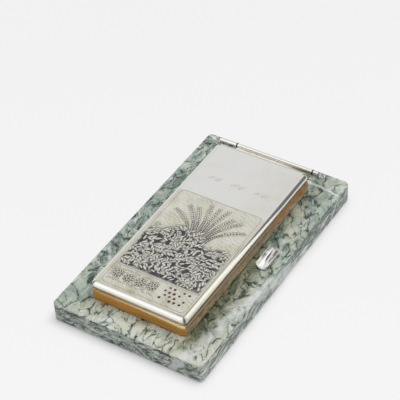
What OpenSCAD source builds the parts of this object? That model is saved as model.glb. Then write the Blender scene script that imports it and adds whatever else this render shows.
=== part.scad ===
// Desk notepad holder: a marble slab, a hinged wooden lid with a silver sheet cover, and a pen rest.
// The origin is the middle of the underside. X runs across the slab, Y to its rear edge, Z up.

/* [Slab] */
// Width of the marble slab
slab_w = 120; // [110:1:150]
// Length of the marble slab
slab_l = 206; // [196:1:240]
// Thickness of the marble slab
slab_h = 15; // [12:0.5:25]
// Radius of the slab's upright corners
slab_corner_r = 3.5; // [2:0.5:8]
// Chamfer that eases the slab's edges
slab_edge = 0.6; // [0.2:0.1:1.5]

/* [Base felt] */
// Thickness of the felt under the slab
felt_h = 1; // [0.5:0.1:2]
// Distance from the slab's edge to the felt
felt_inset = 3; // [1:0.5:8]

/* [Lid frame] */
// Width of the lid
lid_w = 77; // [60:1:82]
// Length of the lid
lid_l = 168; // [120:1:178]
// Distance of the lid's middle from the slab's middle, across
lid_x = -0.5; // [-4:0.5:2]
// Radius of the lid's upright corners
lid_corner_r = 4; // [3.5:0.5:8]
// Height of the wooden rails
rail_h = 8.8; // [7:0.2:16]
// Width of the front and side rails
rail_w = 8; // [7:0.5:12]
// Width of the rear rail
rear_rail_w = 12; // [10:0.5:18]
// Chamfer on the rails' top outer edge
rail_edge = 0.8; // [0.2:0.1:1.5]
// Thickness of the felt lining
lining_t = 0.8; // [0.4:0.1:1.2]
// Thickness of the felt dots under the frame
bumper_t = 0.5; // [0.3:0.1:0.9]
// Diameter of the felt dots under the frame
bumper_d = 5; // [3:0.5:6]

/* [Silver cover] */
// Height of the silver cover with its rolled edge
cover_h = 6; // [5:0.2:6.8]
// Thickness of the silver sheet
sheet_t = 0.8; // [0.4:0.1:1]
// Width of the flat rim that is turned in under the board
rim_w = 0.6; // [0.3:0.1:1]

/* [Rod hinge] */
// Outer diameter of the hinge barrels
barrel_d = 3.2; // [2.8:0.1:4]
// Diameter of the hinge pin
pin_d = 1.5; // [1:0.1:1.6]
// Distance from the slab's rear edge to the hinge axis
hinge_inset = 4.4; // [4:0.2:8]
// Distance from the hinge axis to the lid's rear face
hinge_gap = 16; // [14.5:0.5:20]
// Length of the moving barrel
centre_barrel_l = 63.5; // [40:0.5:66]
// Length of the left fixed barrel
left_barrel_l = 14; // [6:0.5:15]
// Length of the right fixed barrel
right_barrel_l = 4.2; // [3:0.1:12]
// Thickness of the washers between the barrels
hinge_washer_t = 0.8; // [0.4:0.1:1.2]
// How far the washers stand proud of the barrels
washer_proud = 0.15; // [0.05:0.05:0.3]
// Length of the flattened lugs beyond the barrels
lug_l = 5.5; // [5:0.1:6.5]
// Width of the flattened lugs
lug_w = 4; // [3.6:0.1:5]
// Thickness of the flattened lugs
lug_t = 1; // [0.6:0.1:1.4]
// Thickness of the leaf
leaf_t = 0.8; // [0.7:0.1:1.2]
// How far the leaf reaches under the rear rail
leaf_reach = 9; // [8:0.5:9.5]

/* [Pad tray] */
// Thickness of the brass plate
tray_t = 0.6; // [0.5:0.1:0.9]
// Length of the lip over the pad's head
lip_l = 5; // [3:0.5:8]

/* [Pad] */
// Thickness of the cardboard back
backing_h = 0.9; // [0.5:0.1:1.5]
// Thickness of the binding tape
binding_t = 0.3; // [0.2:0.05:0.4]
// Length of the binding tape over the sheets
binding_l = 9; // [8.5:0.5:16]

/* [Pen rest] */
// Outer diameter of the half-tube
rest_d = 9.2; // [8:0.2:11]
// Wall of the half-tube
rest_wall = 0.8; // [0.7:0.1:1.2]
// Length of the half-tube
rest_l = 21; // [18:0.5:30]
// Distance from the slab's right edge to the half-tube
rest_margin = 6.5; // [5:0.5:8]
// Distance of the half-tube's middle from the slab's middle, towards the rear
rest_y = 4.1; // [-40:0.1:40]
// Width of the saddle under the half-tube
saddle_w = 4; // [3.5:0.5:5]
// Length of the saddle under the half-tube
saddle_l = 12; // [8:0.5:16]
// Height of the half-tube above the slab
saddle_lift = 0.25; // [0.15:0.05:0.6]

/* [Fasteners] */
// Shank diameter of the lug screws
lug_screw_d = 1.6; // [1.4:0.1:1.8]
// Head diameter of the lug screws
lug_head_d = 2.8; // [2.6:0.1:3.2]
// Head height of the lug screws
lug_head_h = 0.9; // [0.7:0.1:1.4]
// Width across the flats of the lug screws' sockets
lug_socket_af = 1.3; // [1:0.1:1.4]
// Shank diameter of the tray, leaf and frame screws
screw_d = 2; // [1.6:0.1:2.2]
// Head diameter of the tray, leaf and frame screws
screw_head_d = 3.6; // [3.2:0.1:4]
// Width of the slots in the screw heads
screw_slot_w = 0.5; // [0.3:0.1:0.7]
// Length of the screws that enter the plugs
plug_screw_l = 6.5; // [4:0.5:7.5]
// Depth of the frame and leaf screws in the board
board_bite = 3; // [2:0.2:3.6]
// Diameter of the nylon plugs
plug_d = 4; // [3.5:0.1:5]
// Length of the nylon plugs
plug_l = 8; // [7.5:0.5:9]
// Diameter of the pen rest's stud
stud_d = 3; // [2.5:0.1:3.4]
// Width across the flats of the nut
nut_af = 5.5; // [5:0.1:6]
// Height of the nut
nut_h = 2.4; // [1.8:0.1:2.6]
// Diameter of the washer under the nut
nut_washer_d = 7; // [6.5:0.1:8]
// Thickness of the washer under the nut
nut_washer_t = 0.5; // [0.4:0.1:1]
// Depth of the counterbore under the slab
counterbore_h = 5; // [4.5:0.1:5.5]

/* [Fits] */
// Radial clearance of the pin in the moving barrel
running_gap = 0.05; // [0.02:0.01:0.08]
// Radial clearance of what is pushed in and stays
push_gap = 0.02; // [0.01:0.01:0.04]
// Radial clearance of bolts in their holes
bolt_gap = 0.1; // [0.05:0.05:0.2]
// Gap between the lid's felt dots and the slab
seat_gap = 0.1; // [0.05:0.05:0.2]
// Gap between the moving barrel or leaf and the slab
slab_gap = 0.3; // [0.2:0.1:0.5]
// Gap between the moving barrel and each washer
washer_gap = 0.1; // [0.05:0.05:0.2]
// Gap between glued or laid-in sheets and what is round them
lay_gap = 0.1; // [0.05:0.05:0.2]
// Gap between the pad and the frame round it
pad_gap = 2; // [1.5:0.25:4]
// Gap between the tray's lip and the lid's lining
head_gap = 0.8; // [0.5:0.1:1.2]

/* [Hidden] */
$fn = 64;

marble_colour = [0.66, 0.71, 0.64];
silver_colour = [0.83, 0.83, 0.80];
wood_colour = [0.66, 0.40, 0.13];
board_colour = [0.72, 0.55, 0.36];
brass_colour = [0.80, 0.66, 0.36];
steel_colour = [0.60, 0.60, 0.60];
felt_colour = [0.10, 0.16, 0.13];
lining_colour = [0.36, 0.15, 0.12];
paper_colour = [0.95, 0.94, 0.89];
card_colour = [0.62, 0.56, 0.46];
tape_colour = [0.20, 0.25, 0.22];
nylon_colour = [0.90, 0.90, 0.86];
washer_colour = [0.08, 0.08, 0.09];

eps = 0.01;

// Levels, from the felt up
slab_z = felt_h;
slab_top = slab_z + slab_h;
rail_z = slab_top + seat_gap + bumper_t;
rail_top = rail_z + rail_h;
lining_z = rail_top - lining_t;

// Hinge
hinge_y = slab_l / 2 - hinge_inset;
hinge_z = slab_top + slab_gap + barrel_d / 2;
leaf_z = slab_top + slab_gap;
leaf_top = leaf_z + leaf_t;
centre_x0 = lid_x - centre_barrel_l / 2;
centre_x1 = lid_x + centre_barrel_l / 2;
left_x1 = centre_x0 - 2 * washer_gap - hinge_washer_t;
left_x0 = left_x1 - left_barrel_l;
right_x0 = centre_x1 + 2 * washer_gap + hinge_washer_t;
right_x1 = right_x0 + right_barrel_l;
lug_hole = lug_l * 0.55;
left_hole_x = left_x0 - lug_hole;
right_hole_x = right_x1 + lug_hole;
foot_w = barrel_d * 0.7;
pin_end = 0.4;

// Lid
lid_y1 = hinge_y - hinge_gap;
lid_y0 = lid_y1 - lid_l;
lid_cy = (lid_y0 + lid_y1) / 2;
inner_w = lid_w - 2 * rail_w;
inner_y0 = lid_y0 + rail_w;
inner_y1 = lid_y1 - rear_rail_w;
inner_l = inner_y1 - inner_y0;
inner_cy = (inner_y0 + inner_y1) / 2;
roll_r = cover_h / 2;
rim_inset = roll_r + rim_w;
rim_corner_r = 0.5;
screw_line = max(rim_inset + lay_gap + screw_head_d / 2 - 0.5, rail_w / 2);
head_h = (screw_head_d - screw_d) / 2;
frame_screw_l = rail_h + board_bite;
leaf_screw_l = rail_top - leaf_z + board_bite;

// Pad and tray
tray_w = inner_w - 2 * pad_gap + 2;
pad_w = inner_w - 2 * pad_gap;
tray_y0 = inner_y0 + pad_gap;
tray_y1 = inner_y1 - pad_gap;
tray_top = slab_top + tray_t;
lip_top = lining_z - head_gap;
pad_y0 = tray_y0;
pad_y1 = tray_y1 - tray_t - lay_gap;
pad_l = pad_y1 - pad_y0;
backing_top = tray_top + backing_h;
sheets_top = lip_top - tray_t - lay_gap - binding_t;
tray_screw_x = pad_w * 0.3;
tray_screw_y = (tray_y1 - tray_y0) * 0.38;
tray_cy = (tray_y0 + tray_y1) / 2;

// Pen rest
rest_x = slab_w / 2 - rest_margin - rest_d / 2;
rest_z = slab_top + saddle_lift + rest_d / 2;
stud_bite = (saddle_lift + rest_wall) * 0.55;
stud_end = 1;
counterbore_top = slab_z + counterbore_h;

lug_spots = [[left_hole_x, hinge_y], [right_hole_x, hinge_y]];
tray_spots = [for (sx = [-1, 1], sy = [-1, 1]) [lid_x + sx * tray_screw_x, tray_cy + sy * tray_screw_y]];
leaf_spots = [for (k = [-1, 0, 1]) [lid_x + k * centre_barrel_l * 0.4, lid_y1 - screw_line]];
side_spots = [
    for (sx = [-1, 1], k = [-1, 1]) [lid_x + sx * (lid_w / 2 - screw_line), inner_cy + k * inner_l * 0.32]
];
front_spots = [for (sx = [-1, 1]) [lid_x + sx * inner_w * 0.3, lid_y0 + screw_line]];
frame_spots = concat(side_spots, front_spots);
bumper_inset = rail_w / 2 + 1;
bumper_spots = [
    for (sx = [-1, 1], y = [lid_y0 + bumper_inset, inner_y1 - bumper_inset])
        [lid_x + sx * (lid_w / 2 - rail_w / 2), y]
];

// Plan of a rectangle with round corners, made of true arcs
module round_plan(w, l, r) {
    square([w - 2 * r, l], center = true);
    square([w, l - 2 * r], center = true);
    for (sx = [-1, 1], sy = [-1, 1]) {
        translate([sx * (w / 2 - r), sy * (l / 2 - r)]) circle(r = r);
    }
}

// Half outline of an upright section: a = half width, with chamfers c0 below and c1 above
function chamfered(a, h, c0, c1) = [
    [0, 0], [a - c0, 0], [a, c0], [a, h - c1], [a - c1, h], [0, h]
];

// Block with round upright corners and chamfered rims
module eased_block(w, l, h, r, c0, c1) {
    right_half_x = chamfered(w / 2, h, c0, c1);
    right_half_y = chamfered(l / 2, h, c0, c1);
    rotate([90, 0, 0]) linear_extrude(height = l - 2 * r, center = true) {
        polygon(right_half_x);
        mirror([1, 0]) polygon(right_half_x);
    }
    rotate([90, 0, 90]) linear_extrude(height = w - 2 * r, center = true) {
        polygon(right_half_y);
        mirror([1, 0]) polygon(right_half_y);
    }
    for (sx = [-1, 1], sy = [-1, 1]) {
        translate([sx * (w / 2 - r), sy * (l / 2 - r), 0]) rotate_extrude() polygon(chamfered(r, h, c0, c1));
    }
}

// Section of a plate whose edge is a full half-round
module bullnose_half(a, h) {
    square([a - h / 2, h]);
    intersection() {
        translate([a - h / 2, h / 2]) circle(r = h / 2);
        square([a, h]);
    }
}

// Plate with round corners and a full half-round edge
module bullnose_plate(w, l, h, r) {
    rotate([90, 0, 0]) linear_extrude(height = l - 2 * r, center = true) {
        bullnose_half(w / 2, h);
        mirror([1, 0]) bullnose_half(w / 2, h);
    }
    rotate([90, 0, 90]) linear_extrude(height = w - 2 * r, center = true) {
        bullnose_half(l / 2, h);
        mirror([1, 0]) bullnose_half(l / 2, h);
    }
    for (sx = [-1, 1], sy = [-1, 1]) {
        translate([sx * (w / 2 - r), sy * (l / 2 - r), 0]) rotate_extrude() bullnose_half(r, h);
    }
}

// Countersunk screw: the head's flat is at z = 0 and the shank points to -Z
module flat_screw(length) {
    difference() {
        union() {
            translate([0, 0, -head_h]) cylinder(h = head_h, d1 = screw_d, d2 = screw_head_d);
            translate([0, 0, -length]) cylinder(h = length - head_h + eps, d = screw_d);
        }
        cube([screw_head_d + 1, screw_slot_w, head_h], center = true);
    }
}

// Hole that a countersunk screw fits, with its head's flat at z = 0
module flat_screw_hole(length) {
    translate([0, 0, -head_h]) {
        cylinder(h = head_h, d1 = screw_d + 2 * push_gap, d2 = screw_head_d + 2 * push_gap);
    }
    translate([0, 0, -length - push_gap]) cylinder(h = length, d = screw_d + 2 * push_gap);
    cylinder(h = 1, d = screw_head_d + 2 * push_gap);
}

// Barrel along X with the foot that stands on the slab
module fixed_barrel(x0, x1) {
    translate([x0, hinge_y, hinge_z]) rotate([0, 90, 0]) cylinder(h = x1 - x0, d = barrel_d);
    translate([x0, hinge_y - foot_w / 2, slab_top]) cube([x1 - x0, foot_w, hinge_z - slab_top]);
}

// Bore along X through a fixed barrel
module barrel_bore(x0, x1, gap) {
    translate([x0 - 1, hinge_y, hinge_z]) rotate([0, 90, 0]) cylinder(h = x1 - x0 + 2, d = pin_d + 2 * gap);
}

// Lug on the slab: a flat tongue with a round end, reaching from x0 to the tip x1
module lug(x0, x1) {
    dir = x1 > x0 ? 1 : -1;
    tip = x1 - dir * lug_w / 2;
    translate([min(x0, tip), hinge_y - lug_w / 2, slab_top]) cube([abs(tip - x0), lug_w, lug_t]);
    translate([tip, hinge_y, slab_top]) cylinder(h = lug_t, d = lug_w);
}

module lug_hole_at(x) {
    translate([x, hinge_y, slab_top - 1]) cylinder(h = lug_t + 2, d = lug_screw_d + 2 * bolt_gap);
}

module base_felt() {
    color(felt_colour) linear_extrude(height = felt_h) {
        round_plan(slab_w - 2 * felt_inset, slab_l - 2 * felt_inset, slab_corner_r);
    }
}

module marble_slab() {
    color(marble_colour) difference() {
        translate([0, 0, slab_z]) eased_block(slab_w, slab_l, slab_h, slab_corner_r, slab_edge, slab_edge);
        for (p = concat(lug_spots, tray_spots)) {
            translate([p[0], p[1], slab_top - plug_l]) cylinder(h = plug_l + 1, d = plug_d + 2 * push_gap);
        }
        translate([rest_x, rest_y, slab_z - 1]) cylinder(h = slab_h + 2, d = stud_d + 2 * bolt_gap);
        translate([rest_x, rest_y, slab_z - 1]) cylinder(h = counterbore_h + 1, d = nut_washer_d + 1);
    }
}

module screw_plugs() {
    color(nylon_colour) {
        for (p = lug_spots) {
            translate([p[0], p[1], slab_top - plug_l]) difference() {
                cylinder(h = plug_l, d = plug_d);
                translate([0, 0, 0.5]) cylinder(h = plug_l, d = lug_screw_d + 2 * push_gap);
            }
        }
        for (p = tray_spots) {
            translate([p[0], p[1], slab_top - plug_l]) difference() {
                cylinder(h = plug_l, d = plug_d);
                translate([0, 0, plug_l + tray_t]) flat_screw_hole(plug_screw_l + tray_t);
            }
        }
    }
}

// Brass plate with an upright head and a lip over the pad
module pad_tray() {
    color(brass_colour) difference() {
        union() {
            translate([lid_x - tray_w / 2, tray_y0, slab_top]) cube([tray_w, tray_y1 - tray_y0, tray_t]);
            translate([lid_x - pad_w / 2, tray_y1 - tray_t, slab_top]) cube([pad_w, tray_t, lip_top - slab_top]);
            translate([lid_x - pad_w / 2, tray_y1 - lip_l - tray_t, lip_top - tray_t]) {
                cube([pad_w, lip_l + tray_t, tray_t]);
            }
        }
        for (p = tray_spots) translate([p[0], p[1], tray_top]) flat_screw_hole(plug_screw_l + tray_t);
    }
}

module tray_screws() {
    color(steel_colour) {
        for (p = tray_spots) translate([p[0], p[1], tray_top]) flat_screw(plug_screw_l + tray_t);
    }
}

module pad_backing() {
    color(card_colour) translate([lid_x - pad_w / 2, pad_y0, tray_top]) cube([pad_w, pad_l, backing_h]);
}

module pad_sheets() {
    color(paper_colour) translate([lid_x - pad_w / 2, pad_y0, backing_top]) {
        cube([pad_w, pad_l - binding_t, sheets_top - backing_top]);
    }
}

// Tape over the head of the sheets and down their end
module pad_binding() {
    color(tape_colour) {
        translate([lid_x - pad_w / 2, pad_y1 - binding_l, sheets_top]) cube([pad_w, binding_l, binding_t]);
        translate([lid_x - pad_w / 2, pad_y1 - binding_t, backing_top]) {
            cube([pad_w, binding_t, sheets_top - backing_top + eps]);
        }
    }
}

module hinge_left_barrel() {
    color(silver_colour) difference() {
        union() {
            fixed_barrel(left_x0, left_x1);
            lug(left_x0 + eps, left_x0 - lug_l);
        }
        barrel_bore(left_x0, left_x1, push_gap);
        lug_hole_at(left_hole_x);
    }
}

module hinge_right_barrel() {
    color(silver_colour) difference() {
        union() {
            fixed_barrel(right_x0, right_x1);
            lug(right_x1 - eps, right_x1 + lug_l);
        }
        barrel_bore(right_x0, right_x1, push_gap);
        lug_hole_at(right_hole_x);
    }
}

module lug_screws() {
    color(steel_colour) for (p = lug_spots) {
        translate([p[0], p[1], slab_top + lug_t]) difference() {
            union() {
                cylinder(h = lug_head_h, d = lug_head_d);
                translate([0, 0, -lug_t - plug_screw_l]) cylinder(h = lug_t + plug_screw_l + eps, d = lug_screw_d);
            }
            translate([0, 0, lug_head_h * 0.4]) cylinder(h = lug_head_h, d = lug_socket_af / cos(30), $fn = 6);
        }
    }
}

module hinge_pin() {
    color(steel_colour) translate([left_x0 + pin_end, hinge_y, hinge_z]) rotate([0, 90, 0]) {
        cylinder(h = right_x1 - left_x0 - 2 * pin_end, d = pin_d);
    }
}

module hinge_washers() {
    color(washer_colour) for (x = [left_x1, centre_x1 + 2 * washer_gap]) {
        translate([x, hinge_y, hinge_z]) rotate([0, 90, 0]) difference() {
            cylinder(h = hinge_washer_t, d = barrel_d + 2 * washer_proud);
            translate([0, 0, -1]) cylinder(h = hinge_washer_t + 2, d = pin_d + 2 * push_gap);
        }
    }
}

// Open half-tube along Y on a narrow saddle
module pen_rest() {
    side_drop = rest_d / 2 - sqrt(pow(rest_d / 2, 2) - pow(saddle_w / 2, 2));
    color(silver_colour) translate([rest_x, rest_y, rest_z]) difference() {
        union() {
            rotate([90, 0, 0]) cylinder(h = rest_l, d = rest_d, center = true);
            translate([-saddle_w / 2, -saddle_l / 2, -rest_d / 2 - saddle_lift]) {
                cube([saddle_w, saddle_l, saddle_lift + side_drop + 0.1]);
            }
        }
        rotate([90, 0, 0]) cylinder(h = rest_l + 2, d = rest_d - 2 * rest_wall, center = true);
        translate([-rest_d, -rest_l, 0]) cube([2 * rest_d, 2 * rest_l, rest_d]);
        translate([0, 0, -rest_d / 2 - saddle_lift - 1]) cylinder(h = stud_bite + 1, d = stud_d + 2 * push_gap);
    }
}

module rest_stud() {
    color(steel_colour) translate([rest_x, rest_y, slab_z + stud_end]) {
        cylinder(h = slab_h - stud_end + stud_bite - push_gap, d = stud_d);
    }
}

module rest_washer() {
    color(steel_colour) translate([rest_x, rest_y, counterbore_top - nut_washer_t]) difference() {
        cylinder(h = nut_washer_t, d = nut_washer_d);
        translate([0, 0, -1]) cylinder(h = nut_washer_t + 2, d = stud_d + 2 * bolt_gap);
    }
}

module rest_nut() {
    color(steel_colour) translate([rest_x, rest_y, counterbore_top - nut_washer_t - nut_h]) difference() {
        cylinder(h = nut_h, d = nut_af / cos(30), $fn = 6);
        translate([0, 0, -1]) cylinder(h = nut_h + 2, d = stud_d + 2 * push_gap);
    }
}

// Moving barrel with the leaf that runs forward over the slab and under the rear rail
module lid_leaf() {
    root_y = hinge_y - pin_d / 4;
    color(silver_colour) difference() {
        union() {
            translate([centre_x0, hinge_y, hinge_z]) rotate([0, 90, 0]) cylinder(h = centre_barrel_l, d = barrel_d);
            translate([centre_x0, lid_y1 - leaf_reach, leaf_z]) {
                cube([centre_barrel_l, root_y - lid_y1 + leaf_reach, leaf_t]);
            }
        }
        barrel_bore(centre_x0, centre_x1, running_gap);
        leaf_screw_holes();
    }
}

module leaf_screws() {
    color(steel_colour) for (p = leaf_spots) {
        translate([p[0], p[1], leaf_z]) mirror([0, 0, 1]) flat_screw(leaf_screw_l);
    }
}

// Whole wooden frame before it is parted into rails
module frame_blank() {
    translate([lid_x, lid_cy, rail_z]) eased_block(lid_w, lid_l, rail_h, lid_corner_r, 0.2, rail_edge);
}

module frame_screw_holes() {
    for (p = frame_spots) translate([p[0], p[1], rail_z]) mirror([0, 0, 1]) flat_screw_hole(frame_screw_l);
}

module leaf_screw_holes() {
    for (p = leaf_spots) translate([p[0], p[1], leaf_z]) mirror([0, 0, 1]) flat_screw_hole(leaf_screw_l);
}

// Prism over a plan, tall enough to cut the frame blank
module frame_cut(points) {
    translate([lid_x, 0, rail_z - 1]) linear_extrude(height = rail_h + 2) polygon(points);
}

module lid_front_rail() {
    a = lid_w / 2;
    color(wood_colour) difference() {
        intersection() {
            frame_blank();
            frame_cut([
                [-a - 1, lid_y0 - 1], [a + 1, lid_y0 - 1],
                [a - rail_w, inner_y0], [-a + rail_w, inner_y0]
            ]);
        }
        frame_screw_holes();
    }
}

module lid_rear_rail() {
    a = lid_w / 2;
    color(wood_colour) difference() {
        intersection() {
            frame_blank();
            frame_cut([[-a - 1, inner_y1], [a + 1, inner_y1], [a + 1, lid_y1 + 1], [-a - 1, lid_y1 + 1]]);
        }
        translate([centre_x0 - lay_gap, lid_y1 - leaf_reach - lay_gap, rail_z - 1]) {
            cube([centre_barrel_l + 2 * lay_gap, leaf_reach + lay_gap + 1, leaf_top - rail_z + 1]);
        }
        leaf_screw_holes();
    }
}

// side = -1 for the left rail, 1 for the right rail
module side_rail(side) {
    a = lid_w / 2;
    color(wood_colour) difference() {
        intersection() {
            frame_blank();
            frame_cut([
                [side * (a + 1), lid_y0 - 1], [side * (a + 1), inner_y1],
                [side * (a - rail_w), inner_y1], [side * (a - rail_w), inner_y0]
            ]);
        }
        frame_screw_holes();
    }
}

module lid_left_rail() {
    side_rail(-1);
}

module lid_right_rail() {
    side_rail(1);
}

module frame_screws() {
    color(steel_colour) for (p = frame_spots) {
        translate([p[0], p[1], rail_z]) mirror([0, 0, 1]) flat_screw(frame_screw_l);
    }
}

// Board inside the cover, with its underside flush with the cover's rim
module lid_board() {
    d = sheet_t + lay_gap;
    e = rim_inset + lay_gap;
    color(board_colour) difference() {
        translate([lid_x, lid_cy, rail_top]) {
            translate([0, 0, d]) bullnose_plate(lid_w - 2 * d, lid_l - 2 * d, cover_h - 2 * d, lid_corner_r - d);
            linear_extrude(height = cover_h / 2) round_plan(lid_w - 2 * e, lid_l - 2 * e, rim_corner_r);
        }
        frame_screw_holes();
        leaf_screw_holes();
    }
}

module silver_cover() {
    inner_r = lid_corner_r - sheet_t;
    color(silver_colour) translate([lid_x, lid_cy, rail_top]) difference() {
        bullnose_plate(lid_w, lid_l, cover_h, lid_corner_r);
        translate([0, 0, sheet_t]) {
            bullnose_plate(lid_w - 2 * sheet_t, lid_l - 2 * sheet_t, cover_h - 2 * sheet_t, inner_r);
        }
        translate([0, 0, -1]) linear_extrude(height = sheet_t + 2) {
            round_plan(lid_w - 2 * rim_inset, lid_l - 2 * rim_inset, rim_corner_r);
        }
    }
}

module lid_lining() {
    color(lining_colour) translate([lid_x, inner_cy, lining_z]) linear_extrude(height = lining_t) {
        square([inner_w - 2 * lay_gap, inner_l - 2 * lay_gap], center = true);
    }
}

module lid_bumpers() {
    color(felt_colour) for (p = bumper_spots) {
        translate([p[0], p[1], slab_top + seat_gap]) cylinder(h = bumper_t, d = bumper_d);
    }
}

base_felt();
marble_slab();
screw_plugs();
pad_tray();
tray_screws();
pad_backing();
pad_sheets();
pad_binding();
hinge_left_barrel();
hinge_right_barrel();
lug_screws();
hinge_pin();
hinge_washers();
pen_rest();
rest_stud();
rest_washer();
rest_nut();
lid_leaf();
leaf_screws();
lid_front_rail();
lid_rear_rail();
lid_left_rail();
lid_right_rail();
frame_screws();
lid_board();
silver_cover();
lid_lining();
lid_bumpers();
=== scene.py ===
"""Looks of a desk notepad holder: veined marble slab, wooden lid under a worked silver cover, and pen rest.

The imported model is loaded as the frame. Each class below makes the visible surfaces of one sub-assembly with
numpy, in millimetres, and rides them on the body that the frame gives. Surfaces are grids or profiles carried
round a path, and finishes are node materials that read Object coordinates or a piece's own attribute.
"""

import logging
import math
from dataclasses import dataclass, field
from enum import Enum
from functools import cache, reduce
from typing import Callable, Sequence

import bpy
import numpy as np
from mathutils import Matrix, Vector


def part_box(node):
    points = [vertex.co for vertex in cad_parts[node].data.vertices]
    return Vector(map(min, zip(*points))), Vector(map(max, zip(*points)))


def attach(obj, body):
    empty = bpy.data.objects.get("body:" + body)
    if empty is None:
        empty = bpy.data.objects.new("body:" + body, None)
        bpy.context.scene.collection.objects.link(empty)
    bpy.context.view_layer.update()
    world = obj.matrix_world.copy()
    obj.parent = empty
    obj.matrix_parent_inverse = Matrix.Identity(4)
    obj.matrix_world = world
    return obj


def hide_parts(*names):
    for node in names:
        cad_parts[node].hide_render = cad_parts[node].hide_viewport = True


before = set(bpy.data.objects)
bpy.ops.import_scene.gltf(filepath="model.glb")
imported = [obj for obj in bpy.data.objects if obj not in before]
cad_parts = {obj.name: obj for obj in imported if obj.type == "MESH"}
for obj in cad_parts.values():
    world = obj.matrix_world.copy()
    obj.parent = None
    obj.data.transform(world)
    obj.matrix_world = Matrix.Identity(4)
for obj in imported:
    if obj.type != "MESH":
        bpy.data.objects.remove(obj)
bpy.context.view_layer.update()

MM = 0.001
X_AXIS = (1.0, 0.0, 0.0)
Y_AXIS = (0.0, 1.0, 0.0)
Z_AXIS = (0.0, 0.0, 1.0)

log = logging.getLogger("notepad_holder")

Colour = tuple[float, float, float]
Face = tuple[int, ...]


# Small helpers


def srgb(red: float, green: float, blue: float) -> Colour:
    """Turns a screen colour of 0 to 255 into the linear colour of 0 to 1 that shaders use."""
    screen = np.array([red, green, blue], dtype=float) / 255.0
    return tuple(np.where(screen <= 0.04045, screen / 12.92, ((screen + 0.055) / 1.055) ** 2.4).tolist())


def smooth_step(low: float, high: float, value: np.ndarray) -> np.ndarray:
    """Rises from 0 at low to 1 at high with level ends: 3 t^2 - 2 t^3 of the clipped share t."""
    share = np.clip((value - low) / (high - low), 0.0, 1.0)
    return share * share * (3.0 - 2.0 * share)


@dataclass(frozen=True)
class Box:
    """Box of a CAD node at rest, in millimetres."""

    low: np.ndarray
    high: np.ndarray

    @classmethod
    def of(cls, node: str) -> "Box":
        """Reads the box of one CAD node from the frame."""
        low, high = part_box(node)
        return cls(np.array(low) / MM, np.array(high) / MM)

    @property
    def centre(self) -> np.ndarray:
        """Middle of the box."""
        return (self.low + self.high) / 2.0

    @property
    def size(self) -> np.ndarray:
        """Width, length and height of the box."""
        return self.high - self.low


def placed(name: str, data: bpy.types.ID) -> bpy.types.Object:
    """Makes an object of a mesh, a lamp or a camera, and links it to the scene.

    Args:
        name: Name of the object.
        data: What it shows.

    Returns:
        The new object.
    """
    made = bpy.data.objects.new(name, data)
    bpy.context.scene.collection.objects.link(made)
    return made


# Node graphs

Socket = bpy.types.NodeSocket
Value = Socket | float | Sequence[float]
Triple = tuple[float, float, float]

# Low and high, and maybe start and end: the numbers that NodeGraph.rise takes after its value
Step = tuple[float, ...]

# Size, and maybe detail, roughness and distortion: the numbers that NodeGraph.cloud takes after its vector
Cloud = tuple[float, ...]

# Size, reach and maybe detail: the numbers that NodeGraph.warped takes after its vector
Bend = tuple[float, ...]


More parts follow.
